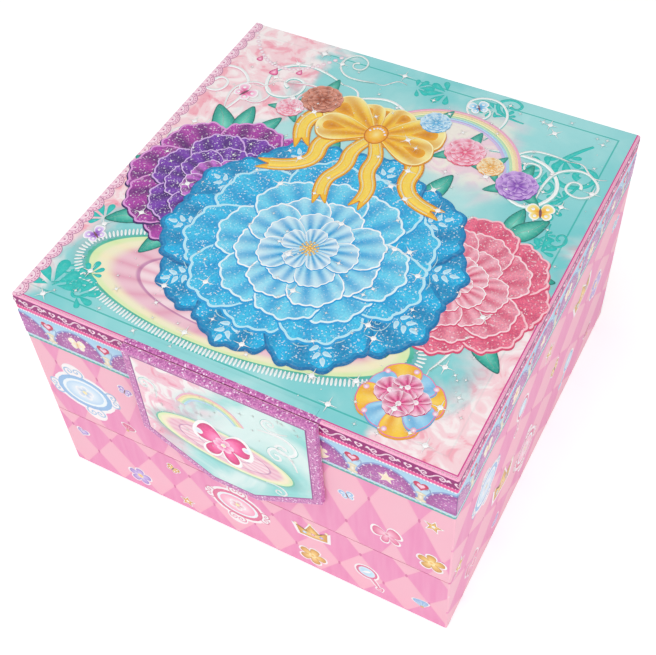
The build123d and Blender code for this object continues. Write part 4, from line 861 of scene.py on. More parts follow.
for number, (place, size, turn, side) in enumerate(white_curls):
    base = 0.052 + 3 * leaf_of_ink * number
    shadow = "#8FCFCB" if place[0] > -40 else "#F0B4C6"
    stamp(picture, fine_curl, (place[0] + 0.35, place[1] - 0.5), size, (shadow,), turn, side * 1.15, level=base)
    stamp(picture, fine_curl, place, size, ("#F4FFFD", "#FFFFFF"), turn, side * 1.15, level=base + leaf_of_ink)
    stamp(picture, fine_wave, place, size * 0.8, ("#FFFFFF",), turn + 180, side, level=base + 2 * leaf_of_ink)

# A rainbow behind the bow, over a pale haze.
for number, ink in enumerate(("#F9B9D2", "#FBDDB4", "#FBF4BC", "#C4EBC0", "#B4DDF4", "#D4C4EE")):
    bends = []
    for step in range(9):
        angle = math.radians(8 + 164 * step / 8)
        reach = 30 - 1.1 * number
        bends.append((20 + reach * math.cos(angle), 36 + reach * 0.95 * math.sin(angle), 1.2))
    stamp(picture, stroke(*bends), (0, 0), 1, (ink,), level=0.079 + leaf_of_ink * number)

# Sprays of leaves round the bouquet, half under the blossoms.
for number, (place, size, angle) in enumerate((
        ((-62, 24), 17, 130), ((-54, 28), 14, 95), ((-74, -8), 13, 170), ((-66, -34), 15, 215), ((-50, -40), 14, 250),
        ((62, 20), 15, 55), ((72, 0), 12, 10), ((70, -36), 14, 320), ((26, 26), 14, 75), ((-18, 28), 14, 100),
        ((40, -44), 13, 285), ((-44, 28), 12, 70), ((56, 22), 12, 85))):
    foot = polar(place, -size * 0.55, angle)
    base = 0.089 + 2 * leaf_of_ink * (number % 4)
    stamp(picture, leaf, foot, size * 1.04, ("#0E6F68",), angle, 1.16, level=base)
    stamp(picture, leaf, foot, size, ("#1B9A8B", "#48BFAA", "#8ADFCB"), angle, 1.1, level=base + leaf_of_ink)
    stamp(picture, fine_wave, foot, size * 0.9, ("#D5F5EC",), angle, 0.3, level=0.0955)

# A big satin bow gathers the stems, with long curling ends over the petals.
bow_heart = (-6, 40)
bow_level = blue_top + 6 * leaf_of_ink
satin_gold = ("#FFF1A4", "#FFDA4F", "#FCC22F", "#F2A21F")
ribbon_ends = (((-8, 41, 4), (-19, 47, 6), (-30, 43, 6.4), (-34, 34, 6), (-30, 27, 5.4)),
               ((-8, 38, 4), (-17, 36, 6), (-23, 28, 6.2), (-20, 19, 5.6), (-27, 12, 5.2), (-34, 10, 5)),
               ((-5, 38, 4), (6, 38, 6), (15, 31, 6.2), (14, 21, 5.6), (21, 14, 5.2), (28, 13, 5)),
               ((-6, 38, 4), (-11, 30, 5.2), (-8, 20, 5.4), (-13, 11, 5), (-10, 4, 4.8)),
               ((-6, 38, 4), (0, 30, 5), (-1, 21, 5.2), (5, 13, 4.8), (4, 7, 4.4)))


def beside(bends, share, width):
    """The same line moved sideways by a share of the ribbon's width, and as wide as that share of it."""
    moved = []
    for number, (across, along, reach) in enumerate(bends):
        before, after = bends[max(number - 1, 0)], bends[min(number + 1, len(bends) - 1)]
        run = (after[0] - before[0], after[1] - before[1])
        length = math.hypot(*run)
        moved.append((across - run[1] / length * share * reach, along + run[0] / length * share * reach,
                      reach * width))
    return moved


for number, bends in enumerate(ribbon_ends):
    base = bow_level + 5 * leaf_of_ink * number
    (near_across, near_along, _), (across, along, width) = bends[-2:]
    run = (across - near_across, along - near_along)
    ahead = (run[0] / math.hypot(*run) * width, run[1] / math.hypot(*run) * width)
    for side in (-1, 1):
        points = [(across + reach * ahead[0] - side * off * ahead[1],
                   along + reach * ahead[1] + side * off * ahead[0], width * wide)
                  for reach, off, wide in ((-0.4, 0.25, 0.5), (0.2, 0.28, 0.42), (0.9, 0.47, 0.04))]
        for grown, ink, rank in ((1.3, "#D98A1E", 0), (1, "#FCC335", 1)):
            stamp(picture, stroke(*[(x, y, wide * grown + grown - 1) for x, y, wide in points]), (0, 0), 1, (ink,),
                  level=base + leaf_of_ink * rank)
    for share, width, ink, rank in ((0, 1.2, "#D98A1E", 0), (0, 1, "#FCC335", 1), (0, 0.44, "#FFDB58", 2),
                                    (0.36, 0.1, "#FFF3BE", 3), (-0.36, 0.1, "#FFF3BE", 3)):
        stamp(picture, stroke(*beside(bends, share, width)), (0, 0), 1, (ink,), glitter=0.15,
              level=base + leaf_of_ink * rank + 0.0002)
bow_level += 26 * leaf_of_ink
for angle, reach, wide in ((98, 15, 0.95), (64, 17, 0.85), (130, 17, 0.85), (24, 25, 0.78), (156, 25, 0.78),
                           (-8, 23, 0.7), (188, 23, 0.7)):
    layered_petal(picture, satin, bow_heart, reach, angle, wide, satin_gold, "#DE921A", "#FFF5B8", 0.12,
                  bow_level, 0.7)
    stamp(picture, tear, polar(bow_heart, reach * 0.5, angle), reach * 0.4, ("#F3AC28", "#D0821A"), angle,
          wide * 1.25, level=bow_level + 3 * leaf_of_ink)
    bow_level += 4 * leaf_of_ink
stamp(picture, disc, bow_heart, 4.4, ("#C9741A",), stretch=1.2, level=bow_level)
stamp(picture, disc, bow_heart, 4.0, ("#EE9C20", "#FBC53C", "#FFE99A"), stretch=1.2, level=bow_level + leaf_of_ink)
for step in range(7):
    stamp(picture, bead, (bow_heart[0] - 3 + step, bow_heart[1] + 3.4 - 0.25 * (step - 3) ** 2), 0.48,
          ("#FFFFFF", "#F3E3FF"), level=bow_level + 2 * leaf_of_ink)
bow_level += 4 * leaf_of_ink

# Small roses tucked round the bow.
for number, (place, size, inks) in enumerate((
        ((-33, 49), 7.5, ("#E9A08A", "#B4552F", "#8A3A1E")), ((27, 45), 7.0, ("#FFD9E6", "#FB8FB4", "#E8456F")),
        ((50, 37), 7.0, ("#DDB6F2", "#A86CD0", "#7A3AAE")), ((-42, 40), 5.0, ("#FFE3EC", "#FDB3CC", "#F2708F")),
        ((11, 55), 5.4, ("#E1F6FF", "#8FD5F2", "#2FA3DC")), ((38, 42), 4.6, ("#FFF3D0", "#FFD27A", "#F0A030")))):
    for step, angle in enumerate((20, 150, 265)):
        stamp(picture, leaf, place, size * 1.75, ("#12877A", "#4CC3AE", "#9BE5D2"), angle + size * 9,
              level=0.0965 + leaf_of_ink * step)
    blossom(picture, place, ((7, size, 1.2, inks, inks[0], 0.3), (6, size * 0.76, 1.2, inks, inks[0], 0.3),
                             (5, size * 0.52, 1.2, inks, inks[0], 0.2)), inks[-1], bow_level, 24, small_frill)
    stamp(picture, disc, place, size * 0.14, (inks[-1], inks[0]), level=bow_level + 28 * leaf_of_ink)

# A string of pearls with drops in the back left corner, and a lace trim down the left edge.
for step in range(26):
    share = step / 25
    spot = (-76 + 38 * share, 74 - 30 * share * (1 - share) * 2.0)
    stamp(picture, bead, spot, 0.92, ("#F3C9DA", "#FFFFFF"), level=0.078 + leaf_of_ink * (step % 2))
    if step in (6, 12, 18):
        stamp(picture, tear, (spot[0], spot[1] - 0.8), 4.6 if step == 12 else 3.2,
              ("#C9327A", "#FF8CBC", "#FFE3EE"), -90, 1.3, level=0.080)
scallop_pitch = 6.15
for step in range(26):
    heart = (-79.6, -76.9 + step * scallop_pitch)
    base = 0.058 + 6 * leaf_of_ink * (step % 2)
    for rank, (size, inks) in enumerate(((3.75, ("#B4709E",)), (3.5, ("#F9C9DC", "#FDE3EC")), (2.3, ("#D98FB8",)),
                                         (2.0, ("#FFE8F1", "#F9C6DB")))):
        stamp(picture, disc, heart, size, inks, level=base + leaf_of_ink * rank)
    for turn in (-60, -36, -12, 12, 36, 60):
        stamp(picture, bead, polar(heart, 2.9, turn), 0.3, ("#CF77A6",), level=base + 4 * leaf_of_ink)
    stamp(picture, bead, polar(heart, 1.0, 0), 0.4, ("#CF77A6",), level=base + 4 * leaf_of_ink)
for tick in range(113):
    for spot in ((-78 + tick * 1.4, -79.35), (79.6, -78 + tick * 1.4)):
        if spot[1] < -79 and abs(spot[0]) < 35.5:
            continue
        stamp(picture, bead, spot, 0.34, ("#F07FB0", "#FFFFFF"), level=0.058)

# The rug's fringe, and rosebuds on a little satin cushion in the front right corner.
rug_centre, rug_across, rug_along, rug_turn = lid_rug
bearing = 135.0
while bearing < 372:
    turned = math.radians(bearing)
    outward = math.degrees(math.atan2(math.sin(turned) / rug_along, math.cos(turned) / rug_across)) + rug_turn
    spot = (rug_across * math.cos(turned), rug_along * math.sin(turned))
    knot = polar(rug_centre, math.hypot(*spot), math.degrees(math.atan2(spot[1], spot[0])) + rug_turn)
    stamp(picture, disc, polar(knot, 0.5, outward), 1.5, ("#FFFFFF", "#F0FBF7"), outward, 0.27, level=0.0268)
    pace = math.hypot(rug_across * math.sin(turned), rug_along * math.cos(turned))
    bearing += math.degrees(1.35 / pace)
cushion = (53.0, -62.0)
for number in range(8):
    inks, fold = ((("#FFCF3A", "#FFE993"), "#F0A22C"), (("#93D2F3", "#D9F2FC"), "#62ACDC"))[number % 2]
    layered_petal(picture, satin, cushion, 13.5 - 1.5 * (number % 2), 22 + 45 * number, 1.0, inks, fold, "#EE78AE",
                  0.1, 0.13 + 3 * leaf_of_ink * number)
    stamp(picture, bead, polar(cushion, 11.4, 45 * number), 0.95, ("#F2A3CC", "#FFFFFF"), level=0.149)
for number, (across, along) in enumerate(((-4.5, 2), (4.5, 1), (0, 5), (0, -1.5))):
    spot = (cushion[0] + across, cushion[1] + along)
    base = 0.151 + 12 * leaf_of_ink * number
    blossom(picture, spot, ((5, 4.6, 1.25, ("#FFE0EE", "#FF8FBE", "#E53A88"), "#FFF0F6", 0.3),), "#C8266E", base, 0,
            small_frill)
    stamp(picture, disc, spot, 0.9, ("#FFFFFF", "#FFD3E6"), level=base + 10 * leaf_of_ink)

for place, size, wings, turn in (((62, 28), 8, ("#FFF3B0", "#FFD24A", "#F59A2A"), 20),
                                 ((-62, 40), 8, ("#FFE3F1", "#FB8FC4", "#D8487E"), -25),
                                 ((22, 69), 6.5, ("#E1F6FF", "#7CCBF2", "#2F86CE"), 35),
                                 ((-70, -46), 6.5, ("#F2E0FF", "#B57BE0", "#7A35A8"), 60)):
    butterfly(picture, place, size, wings, "#7A4A5E", turn, 0.19)

lay(picture, "lid_picture", "top", "lid")

# Sparkles, large and small, all over the sheet.
sparkles = new_sheet(ends=sheet_half)
random.seed(7)
sparkle_level = bow_level + 32 * leaf_of_ink
for number in range(330):
    spot = (random.uniform(-74, 76), random.uniform(-76, 76))
    size = random.choice((0.5, 0.6, 0.8, 0.9, 1.2, 1.5, 2.0, 3.4))
    if size > 1:
        stamp(sparkles, sparkle, spot, size, ("#FFFFFF",), random.choice((0, 0, 45)),
              level=sparkle_level + leaf_of_ink * (number % 18))
    stamp(sparkles, bead, spot, size * 0.28, ("#FFFFFF",), level=sparkle_level + 0.014 + leaf_of_ink * (number % 5))
lay(sparkles, "lid_sparkles", "top", "lid")

# ================================================================= the closure flap
# Board covered in the same paper: a border of violet glitter, and inside it a washed picture of a
# bow on a round rug, under pale curls. The strip of top sheet over its upper edge is its hinge.


flap_half, tip_half = 35.0, 9.25
flap_top, flap_corner, flap_foot = 99.6, 55.6, 38.6
flap_front, flap_back = -0.0826, -0.0804
glitter_width, shade_width = 0.0030, 0.0035
material, shader = new_finish("printed flap paper", 0.38, Specular_IOR_Level=0.4, Coat_Weight=0.25,
                              Coat_Roughness=0.25)
place, x, y, z = coordinates(shader)
wash = noise(place, 38, 4.0, 0.8)
aqua = mix(rise(wash, 0.35, 0.65), "#86DAD6", "#DDF5F1")
blush = rise(x * -1.0 + (z - 0.07) * 0.4 + (wash - 0.5) * 0.03, 0.004, 0.022)
petals = noise(place, 120, 4.0, 1.2)
rose = mix(rise(petals, 0.42, 0.52), "#FFF3F3", "#FBBFD0")
rose = mix(rise(petals, 0.58, 0.66), rose, "#F58FAE")
ground = mix(blush * 0.9, aqua, rose)
ground = shaded_rug(ground, x, z, ((-1.0, 64.5), 27.5, 10.5, -6), (0.96, 1.14), 0.45, "#4FA6A4")
run, climb = flap_half - tip_half, flap_corner - flap_foot
over_foot = z - flap_foot * millimetre
from_side = flap_half * millimetre - abs(x)
from_slant = (over_foot * run - (abs(x) - tip_half * millimetre) * climb) / math.hypot(run, climb)
from_ends = calc("MINIMUM", over_foot, (flap_top + 1.2) * millimetre - z)
from_edge = calc("MINIMUM", calc("MINIMUM", from_side, from_slant), from_ends)
glitter_ink = violet_glitter(place)
ground = mix(from_edge < shade_width, ground, "#8A2C84")
ground = mix(from_edge < glitter_width, ground, glitter_ink)
paint(shader, mix(y < flap_back, plain_pink(place), mix(y < flap_front, glitter_ink, ground)))
paper_fibre(shader, place)
dress(material, "closure_flap")

flap_sheet = new_sheet(34.0)
bow(flap_sheet, (-1.0, 68.0), 15.5, ("#D0186E", "#F53F96", "#FF8FC4", "#FF5FA8"), -8, 0.05)
flower(flap_sheet, (-1.0, 66.6), 4.0, 6, ("#FFE3F1", "#FF8FC4", "#D92E86"), ("#FFFFFF", "#FFF0A6"), 0, 0.062)
for side in (-1, 1):
    stamp(flap_sheet, disc, (-1 + side * 9.2, 69.6), 1.7, ("#FFFFFF", "#DDEBFF"), level=0.065)
for number, (place, size, turn, side) in enumerate((
        ((14, 86), 14, 20, -1), ((27, 70), 12, 95, 1), ((25, 90), 9, 215, -1), ((-25, 79), 9, 70, 1),
        ((14, 55), 8, 20, -1))):
    stamp(flap_sheet, curl, place, size * 1.02, ("#7CCBC6",), turn, side, level=0.020 + 0.0014 * number)
    stamp(flap_sheet, curl, place, size, ("#F4FFFD", "#FFFFFF"), turn, side, level=0.0207 + 0.0014 * number)
for number, ink in enumerate(("#FBC1D6", "#FCE3B4", "#FBF6BE", "#C6EDC4", "#BFE3F8")):
    bends = [(-4 + (13 - 0.8 * number) * math.cos(math.radians(turn)),
              80 + (12 - 0.8 * number) * math.sin(math.radians(turn)), 0.9) for turn in range(15, 166, 25)]
    stamp(flap_sheet, stroke(*bends), (0, 0), 1, (ink,), level=0.03 + leaf_of_ink * number)
random.seed(3)
for number in range(34):
    place = (random.uniform(-31, 31), random.uniform(58, 96))
    stamp(flap_sheet, sparkle, place, random.choice((0.7, 1.0, 1.5)), ("#FFFFFF",), level=0.072)
lay(flap_sheet, "flap_picture", "flap", "flap")

# ================================================================= charms on the case's paper
# Small gilt and enamelled trinkets printed over the diamonds, each with a white cut line: cameos,
# crowns, hand mirrors, bows, hearts, stars, shells and butterflies, strewn on every side.
white = "#FFF8FA"
gilt = ("#C98A2E", "#F6C765", "#FFE9A8")
sky_inks = ("#8FBCE8", "#BFDFF8", "#E8F5FF")
pink_inks = ("#E0628F", "#F9A3C3", "#FFDDE8")
lilac_inks = ("#9F80CF", "#C9B0EA", "#EFE4FB")
crown_shape = motif(lambda turn: {0: (-1, -0.6), 1: (0, -0.68), 2: (1, -0.6), 3: (1.18, 0.5), 4: (0.55, 0.0),
                                  5: (0, 0.85), 6: (-0.55, 0.0), 7: (-1.18, 0.5)}[round(turn * 8)] + (0.0,),
                    8, (0.82, 0.5), (0.0, -0.25))
shell_shape = motif(petal_edge(0.62, 0.8, 0.03, 9), 60, (0.93, 0.7, 0.4, 0.15), (0.05, 0.0))


def cameo(sheet, place, size, turn, inks, level):
    """An oval enamel in a scrolled frame, with a small flower on it."""
    for step in range(4):
        stamp(sheet, disc, polar(place, size * 0.88, turn + 90 * step), size * 0.42, (white,),
              level=level + 0.0003 * step)
    stamp(sheet, disc, place, size * 1.12, (white,), turn, 0.8, level=level + 0.0015)
    for step in range(4):
        for side in (-1, 1):
            stamp(sheet, curl, polar(place, size * (0.8 if step % 2 == 0 else 0.62), turn + 90 * step), size * 0.5,
                  inks[:2], turn + 90 * step + side * 75, -side, level=level + 0.003 + 0.0003 * step)
    stamp(sheet, disc, place, size, inks[:2], turn, 0.76, level=level + 0.005)
    stamp(sheet, disc, place, size * 0.82, ("#F2FBFF", inks[2]), turn, 0.74, level=level + 0.006)
    stamp(sheet, disc, place, size * 0.7, (inks[1], inks[2], "#FFFFFF"), turn, 0.72, level=level + 0.007)
    flower(sheet, place, size * 0.34, 5, ("#FFFFFF", inks[0]), ("#FFF3B8",), turn, level + 0.008)


def cut_out(sheet, shape, place, size, turn, inks, level, border):
    """A charm's body over its white cut line, which is larger by the border."""
    stamp(sheet, shape, place, size * border, (white,), turn, level=level)
    stamp(sheet, shape, place, size, inks, turn, level=level + 0.002)


def crown(sheet, place, size, turn, inks, level):
    """A crown with three stones and three pearls."""
    cut_out(sheet, crown_shape, place, size, turn, inks, level, 1.22)
    for across, along, ink in ((-0.62, -0.28, "#6FC3F0"), (0, -0.25, "#E8456F"), (0.62, -0.28, "#8A5CC8")):
        turned = math.radians(turn)
        spot = (place[0] + size * (across * math.cos(turned) - along * math.sin(turned)),
                place[1] + size * (across * math.sin(turned) + along * math.cos(turned)))
        stamp(sheet, disc, spot, size * 0.15, (ink, "#FFFFFF"), level=level + 0.004)
    for step in (-1, 0, 1):
        tip = polar(place, size * (0.93 if step == 0 else 1.24), turn + 90 - step * 66)
        stamp(sheet, disc, tip, size * 0.13, ("#FFE9A8", "#FFFFFF"), level=level + 0.004)


def hand_mirror(sheet, place, size, turn, inks, level):
    """A round hand mirror, its handle ending in a heart."""
    handle = polar(place, size * 0.95, turn)
    foot = polar(place, size * 1.75, turn)
    stamp(sheet, disc, handle, size * 0.85, (white,), turn, 0.24, level=level)
    stamp(sheet, disc, place, size * 0.82, (white,), level=level + 0.0006)
    stamp(sheet, heart_shape, foot, size * 0.62, (white,), turn + 90, level=level + 0.0012)
    stamp(sheet, disc, handle, size * 0.75, inks[:2], turn, 0.14, level=level + 0.003)
    stamp(sheet, heart_shape, foot, size * 0.44, inks, turn + 90, level=level + 0.0036)
    stamp(sheet, disc, place, size * 0.7, inks[:2], level=level + 0.0045)
    stamp(sheet, disc, place, size * 0.54, ("#DDF4FF", "#B6E2F7", "#F4FCFF"), level=level + 0.006)
    stamp(sheet, petal, polar(place, size * 0.4, 215), size * 0.7, ("#FFFFFF",), 35, 0.4, level=level + 0.007)


def charm_heart(sheet, place, size, turn, inks, level):
    cut_out(sheet, heart_shape, place, size, turn, inks, level, 1.25)
    stamp(sheet, sparkle, polar(place, size * 0.3, turn + 135), size * 0.35, ("#FFFFFF",), level=level + 0.004)


def charm_star(sheet, place, size, turn, inks, level):
    cut_out(sheet, star, place, size, turn, inks, level, 1.28)
    stamp(sheet, bead, place, size * 0.22, ("#FFFFFF",), level=level + 0.004)


def shell(sheet, place, size, turn, inks, level):
    stamp(sheet, shell_shape, polar(place, -size * 0.56, turn), size * 1.12, (white,), turn, 1.02, level=level)
    stamp(sheet, shell_shape, polar(place, -size * 0.5, turn), size, inks, turn, 0.96, inks[0], level=level + 0.002)
    stamp(sheet, disc, polar(place, -size * 0.45, turn), size * 0.14, gilt, level=level + 0.004)


charms = {
    "cameo": cameo, "crown": crown, "mirror": hand_mirror, "heart": charm_heart, "star": charm_star, "shell": shell,
    "bow": lambda sheet, place, size, turn, inks, level: bow(sheet, place, size, inks, turn, level, white),
    "butterfly": lambda sheet, place, size, turn, inks, level: butterfly(
        sheet, place, size, inks, "#8A5A6A", turn, level, white),
    "flower": lambda sheet, place, size, turn, inks, level: flower(
        sheet, place, size, 5, inks, ("#FFF3B8", "#F7B52A"), turn, level, rim=white)}
charm_level = 0.03
key_clear_half, key_clear_top = 14, 36

front_charms = (
    ("cameo", (-62, 55), 12, 12, sky_inks), ("butterfly", (-42, 68), 5, -20, lilac_inks),
    ("shell", (-46, 43), 4.5, 70, pink_inks), ("bow", (57, 50), 8, 18, pink_inks),
    ("star", (73, 68), 3, 8, gilt), ("flower", (73, 44), 5, 20, gilt), ("butterfly", (43, 64), 5, 20, sky_inks))
drawer_charms = (
    ("heart", (-71, 24), 4.5, -15, lilac_inks), ("flower", (-48, 9), 5, 12, lilac_inks),
    ("star", (-27, 6), 3, 12, gilt), ("cameo", (-3, 22), 10.5, -6, pink_inks), ("crown", (28, 27), 5.5, 8, gilt),
    ("flower", (27, 9), 5.5, 0, gilt), ("mirror", (49, 16), 6, 300, pink_inks), ("shell", (70, 11), 5, 100, sky_inks),
    ("butterfly", (-30, 27), 5, -30, gilt))
side_charms = (
    ("cameo", (-54, 58), 9, 12, sky_inks), ("crown", (-36, 35), 7, -10, gilt),
    ("mirror", (-24, 64), 6.5, 250, pink_inks), ("bow", (-60, 15), 8, 10, pink_inks),
    ("heart", (-38, 10), 5, 18, lilac_inks), ("star", (0, 66), 4, 10, gilt), ("cameo", (-12, 22), 9, -10, pink_inks),
    ("butterfly", (12, 42), 7, 20, gilt), ("crown", (34, 61), 6.5, 14, gilt),
    ("mirror", (33, 22), 6.5, 235, sky_inks), ("flower", (55, 44), 6, -12, lilac_inks),
    ("shell", (57, 13), 6, 110, pink_inks),
    ("butterfly", (68, 65), 6.5, -10, sky_inks), ("star", (-73, 36), 4, 0, gilt))
for name, face, body, slot, side, strewn in (
        ("front_charms", "front", "case", "front_print", 1, front_charms),
        ("drawer_charms", "front", "drawer", "drawer_print", 1, drawer_charms),
        ("case_charms_right", "right", "case", "side_print", 1, side_charms),
        ("case_charms_back", "back", "case", "side_print", -1, side_charms),
        ("case_charms_left", "left", "case", "side_print", 1, side_charms)):
    sheet = new_sheet()
    for kind, (across, along), size, turn, inks in strewn:
        is_behind_key = face == "back" and abs(across) < key_clear_half and along < key_clear_top
        if not is_behind_key:
            charms[kind](sheet, (across * side, along), size, turn * side, inks, charm_level)
    lay(sheet, name, face, body)

# ================================================================= the linings
# Boards that show inside are covered in pale pink paper with white pin dots. The tray, the stage
# and the drawer have velvet glued over thin card, with a short pile that catches the light.


def pin_dots(u, v, pitch, radius):
    """1 on round dots set in staggered rows, all in millimetres."""
    rows = []
    for shift in (400, 400.5):
        off_u, off_v = [calc("PINGPONG", step + shift * pitch * millimetre, pitch / 2 * millimetre)
                        for step in (u, v)]
        rows.append(off_u ** 2.0 + off_v ** 2.0 < (radius * millimetre) ** 2)
    return calc("MAXIMUM", *rows)


material, shader = new_finish("dotted lining paper", 0.55, Specular_IOR_Level=0.3)
place, x, y, z = coordinates(shader)
facing = add_node(shader, "SeparateXYZ", {0: add_node(shader, "TexCoord", out="Normal")}).beside()
u = add_node(shader, "Mix", {0: abs(facing[0]) > 0.7, 2: x, 3: y})
v = add_node(shader, "Mix", {0: abs(facing[2]) > 0.7, 2: z, 3: y})
tone = mix(noise(place, 200, 3.0), "#F8C3D5", "#FBD3DF")
paint(shader, mix(pin_dots(u, v, 6.0, 0.65), tone, "#FFF6F9"))
paper_fibre(shader, place)
dress(material, "deck_board", "partition_board", "stage_board", "tray_dividers", "lid_card_lining",
      "drawer_left_side", "drawer_right_side", "drawer_back", "drawer_bottom")


def velvet(name, deep, light):
    """Short-pile rayon velvet: a fine nap 0.25 mm across, brushed lighter here and there."""
    material, shader = new_finish(name, 0.85, Specular_IOR_Level=0.15, Sheen_Weight=0.7, Sheen_Roughness=0.4,
                                  Sheen_Tint="#FFE3EE")
    place = coordinates(shader)[0]
    nap = noise(place, 4000, 2.0)
    brushed = noise(place, 60, 3.0, 0.4)
    tone = mix(rise(brushed, 0.2, 0.9), deep, light)
    paint(shader, mix(rise(nap, 0.35, 0.7), mix(0.25, tone, "#8E2A5C"), tone))
    relief(shader, nap, 0.00012)
    return material


dress(velvet("pink velvet", "#DB5F97", "#EE86B2"), "tray_linings", "stage_lining", "drawer_lining")

# ================================================================= the ring rolls
# Foam sausages in the same velvet, drawn tight round the foam and tucked in at both ends. They are
# flat below, where they are glued to the deck, and press against each other along their sides.
rolls_low, rolls_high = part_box("ring_rolls")
roll_count = 6
roll_length, rolls_wide, roll_height = [high - low for low, high in zip(rolls_low, rolls_high)]
roll_pitch = rolls_wide / roll_count
half_pitch = roll_pitch / 2
seam_gap = 0.1 * millimetre
end_depth = 0.14
roll = primitive("cylinder", vertices=40, radius=1, depth=2, rotation=(0, math.radians(90), 0))
bpy.ops.object.transform_apply(location=False, rotation=True, scale=False)
with edit_mode():
    bpy.ops.mesh.select_all(action="DESELECT")
    bpy.ops.mesh.select_mode(type="FACE")
for face in roll.data.polygons:
    face.select = abs(face.normal.x) > 0.9
with edit_mode():
    for inset in (0.12, 0.14, 0.18, 0.2):
        bpy.ops.mesh.inset(thickness=inset)
    bpy.ops.mesh.poke()
    bpy.ops.mesh.select_all(action="DESELECT")
    bpy.ops.mesh.select_mode(type="EDGE")
for edge in roll.data.edges:
    ends = [roll.data.vertices[number].co.x for number in edge.vertices]
    edge.select = abs(ends[0] - ends[1]) > 1
with edit_mode():
    bpy.ops.mesh.subdivide(number_cuts=30)
for vertex in roll.data.vertices:
    along, across, up = vertex.co
    reach = math.hypot(across, up)
    bearing = math.atan2(up, across)
    tuck = (1 - min(1.0, reach)) ** 0.8
    end_round = max(0.0, (abs(along) - (1 - end_depth)) / end_depth)
    waviness = 0.012 * math.sin(9 * along) + 0.010 * math.sin(5 * bearing + 7 * along)
    girth = (1 - 0.30 * end_round ** 2.2) * (1 + waviness)
    girth *= 1 + 0.03 * math.cos(13 * bearing) * end_round
    square = 1 / max(abs(math.cos(bearing)), abs(math.sin(bearing))) ** 0.75 if up < 0 else 1.0
    half_high = roll_height - half_pitch if up >= 0 else half_pitch
    side = reach * girth * math.cos(bearing) * (half_pitch - seam_gap) * min(square, 1.25)
    rise_up = reach * girth * math.sin(bearing) * half_high * square
    limit = half_pitch - seam_gap / 2
    drawn_in = math.copysign(tuck * end_round * 0.8 * millimetre, along)
    vertex.co = (along * (roll_length / 2) * (0.985 + 0.015 * tuck) - drawn_in,
                 max(-limit, min(limit, side)), max(rise_up, -half_pitch) + half_pitch)
select_only(roll)
bpy.ops.object.shade_smooth()
roll.data.materials.append(velvet("pink velvet over foam", "#E268A0", "#F28CB8"))
for number in range(roll_count):
    copy = roll.copy()
    copy.data = roll.data.copy()
    copy.name = f"ring_roll_{number + 1}"
    copy.data.transform(Matrix.Translation((0, rolls_low[1] + (number + 0.5) * roll_pitch, rolls_low[2])))
    bpy.context.scene.collection.objects.link(copy)
    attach(copy, "case")
    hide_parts("ring_rolls")
bpy.data.objects.remove(roll)

# ================================================================= the mirror
# A silvered glass sheet with an arched top, its edge ground, glued to the card inside the lid.
material, shader = new_finish("silvered glass", 0.02, Metallic=1.0, Coat_Weight=1.0, Coat_Roughness=0.02)
place = coordinates(shader)[0]
dust = rise(noise(place, 500, 3.0), 0.72, 0.8)
paint(shader, mix(dust * 0.2, "#EEF3F5", "#FFFFFF"))
dress(material, "mirror")

# ================================================================= the movement and the metal fittings
# Drawn brass, zinc-plated steel, a hardened steel comb and a die-cast bed plate, as made for small
# clockwork movements; the hinges, bushes and screws are brassed.


def metal(name, dark, light, roughness, grain_scale=(900, 900, 60)):
    """Metal with a drawn or cast grain and faint handling marks."""
    material, shader = new_finish(name, roughness, Metallic=1.0)
    place = coordinates(shader)[0]
    marks = noise(place, 160, 4.0, 0.5)
    paint(shader, mix(rise(marks, 0.3, 0.75), dark, light))
    feed(shader, "Roughness", roughness - 0.05 + rise(marks, 0.4, 0.7) * 0.14)
    relief(shader, noise(add_node(place, "Mapping", {"Vector": place, "Scale": grain_scale}), 1.0, 3.0), 0.00002)
    return material


brass = metal("drawn brass", "#C79A45", "#E9C779", 0.28)
dress(brass, "spindle_bush", "wire_bush", "key_eyelet", "cylinder_wheel", "music_cylinder", "spring_barrel")
dress(metal("brassed steel", "#CFA75A", "#F0D596", 0.32), "case_hinge_leaves", "case_hinge_screws",
      "lid_hinge_leaves", "lid_hinge_screws", "hinge_pins")
dress(metal("zinc-plated steel", "#B3B7BC", "#DDE0E3", 0.3), "catch_plate", "bridge_screws", "comb_screws",
      "movement_screws", "governor_screw", "cylinder_arbor", "fold_pin", "stop_wire", "winding_arbor")
dress(metal("hardened comb steel", "#9DA3AB", "#C9CED4", 0.24), "comb", "fold_spring")
dress(metal("die-cast zinc", "#9EA1A3", "#BFC2C4", 0.5, (700, 700, 700)), "barrel_bridge", "movement_plate")
dress(metal("nickel-plated magnet", "#A9ABAE", "#D5D6D8", 0.2), "flap_magnet")
dress(metal("bright key plating", "#D7C08A", "#F4E4B8", 0.2), "winding_key")


def plastic(name, roughness, dark, light, patches, grain, depth, **levels):
    """Moulded plastic, hardly uneven in colour, with a fine moulded grain."""
    material, shader = new_finish(name, roughness, **levels)
    place = coordinates(shader)[0]
    paint(shader, mix(noise(place, patches, 3.0), dark, light))
    relief(shader, noise(place, grain, 2.0), depth)
    return material


dress(plastic("moulded governor nylon", 0.45, "#2E3034", "#44474C", 300, 2500, 0.00003),
      "governor_housing", "governor_pinion")
dress(plastic("white moulded plastic", 0.3, "#F4EFEC", "#FFFDFB", 90, 1500, 0.00001, Coat_Weight=0.3), "turntable")

material, shader = new_finish("sawn pine", 0.65)
place = coordinates(shader)[0]
grain = noise(add_node(place, "Mapping", {"Vector": place, "Scale": (900, 60, 900)}), 1.0, 4.0)
paint(shader, mix(rise(grain, 0.35, 0.65), "#D9B27C", "#F0D3A4"))
relief(shader, grain, 0.0001)
dress(material, "mounting_blocks")

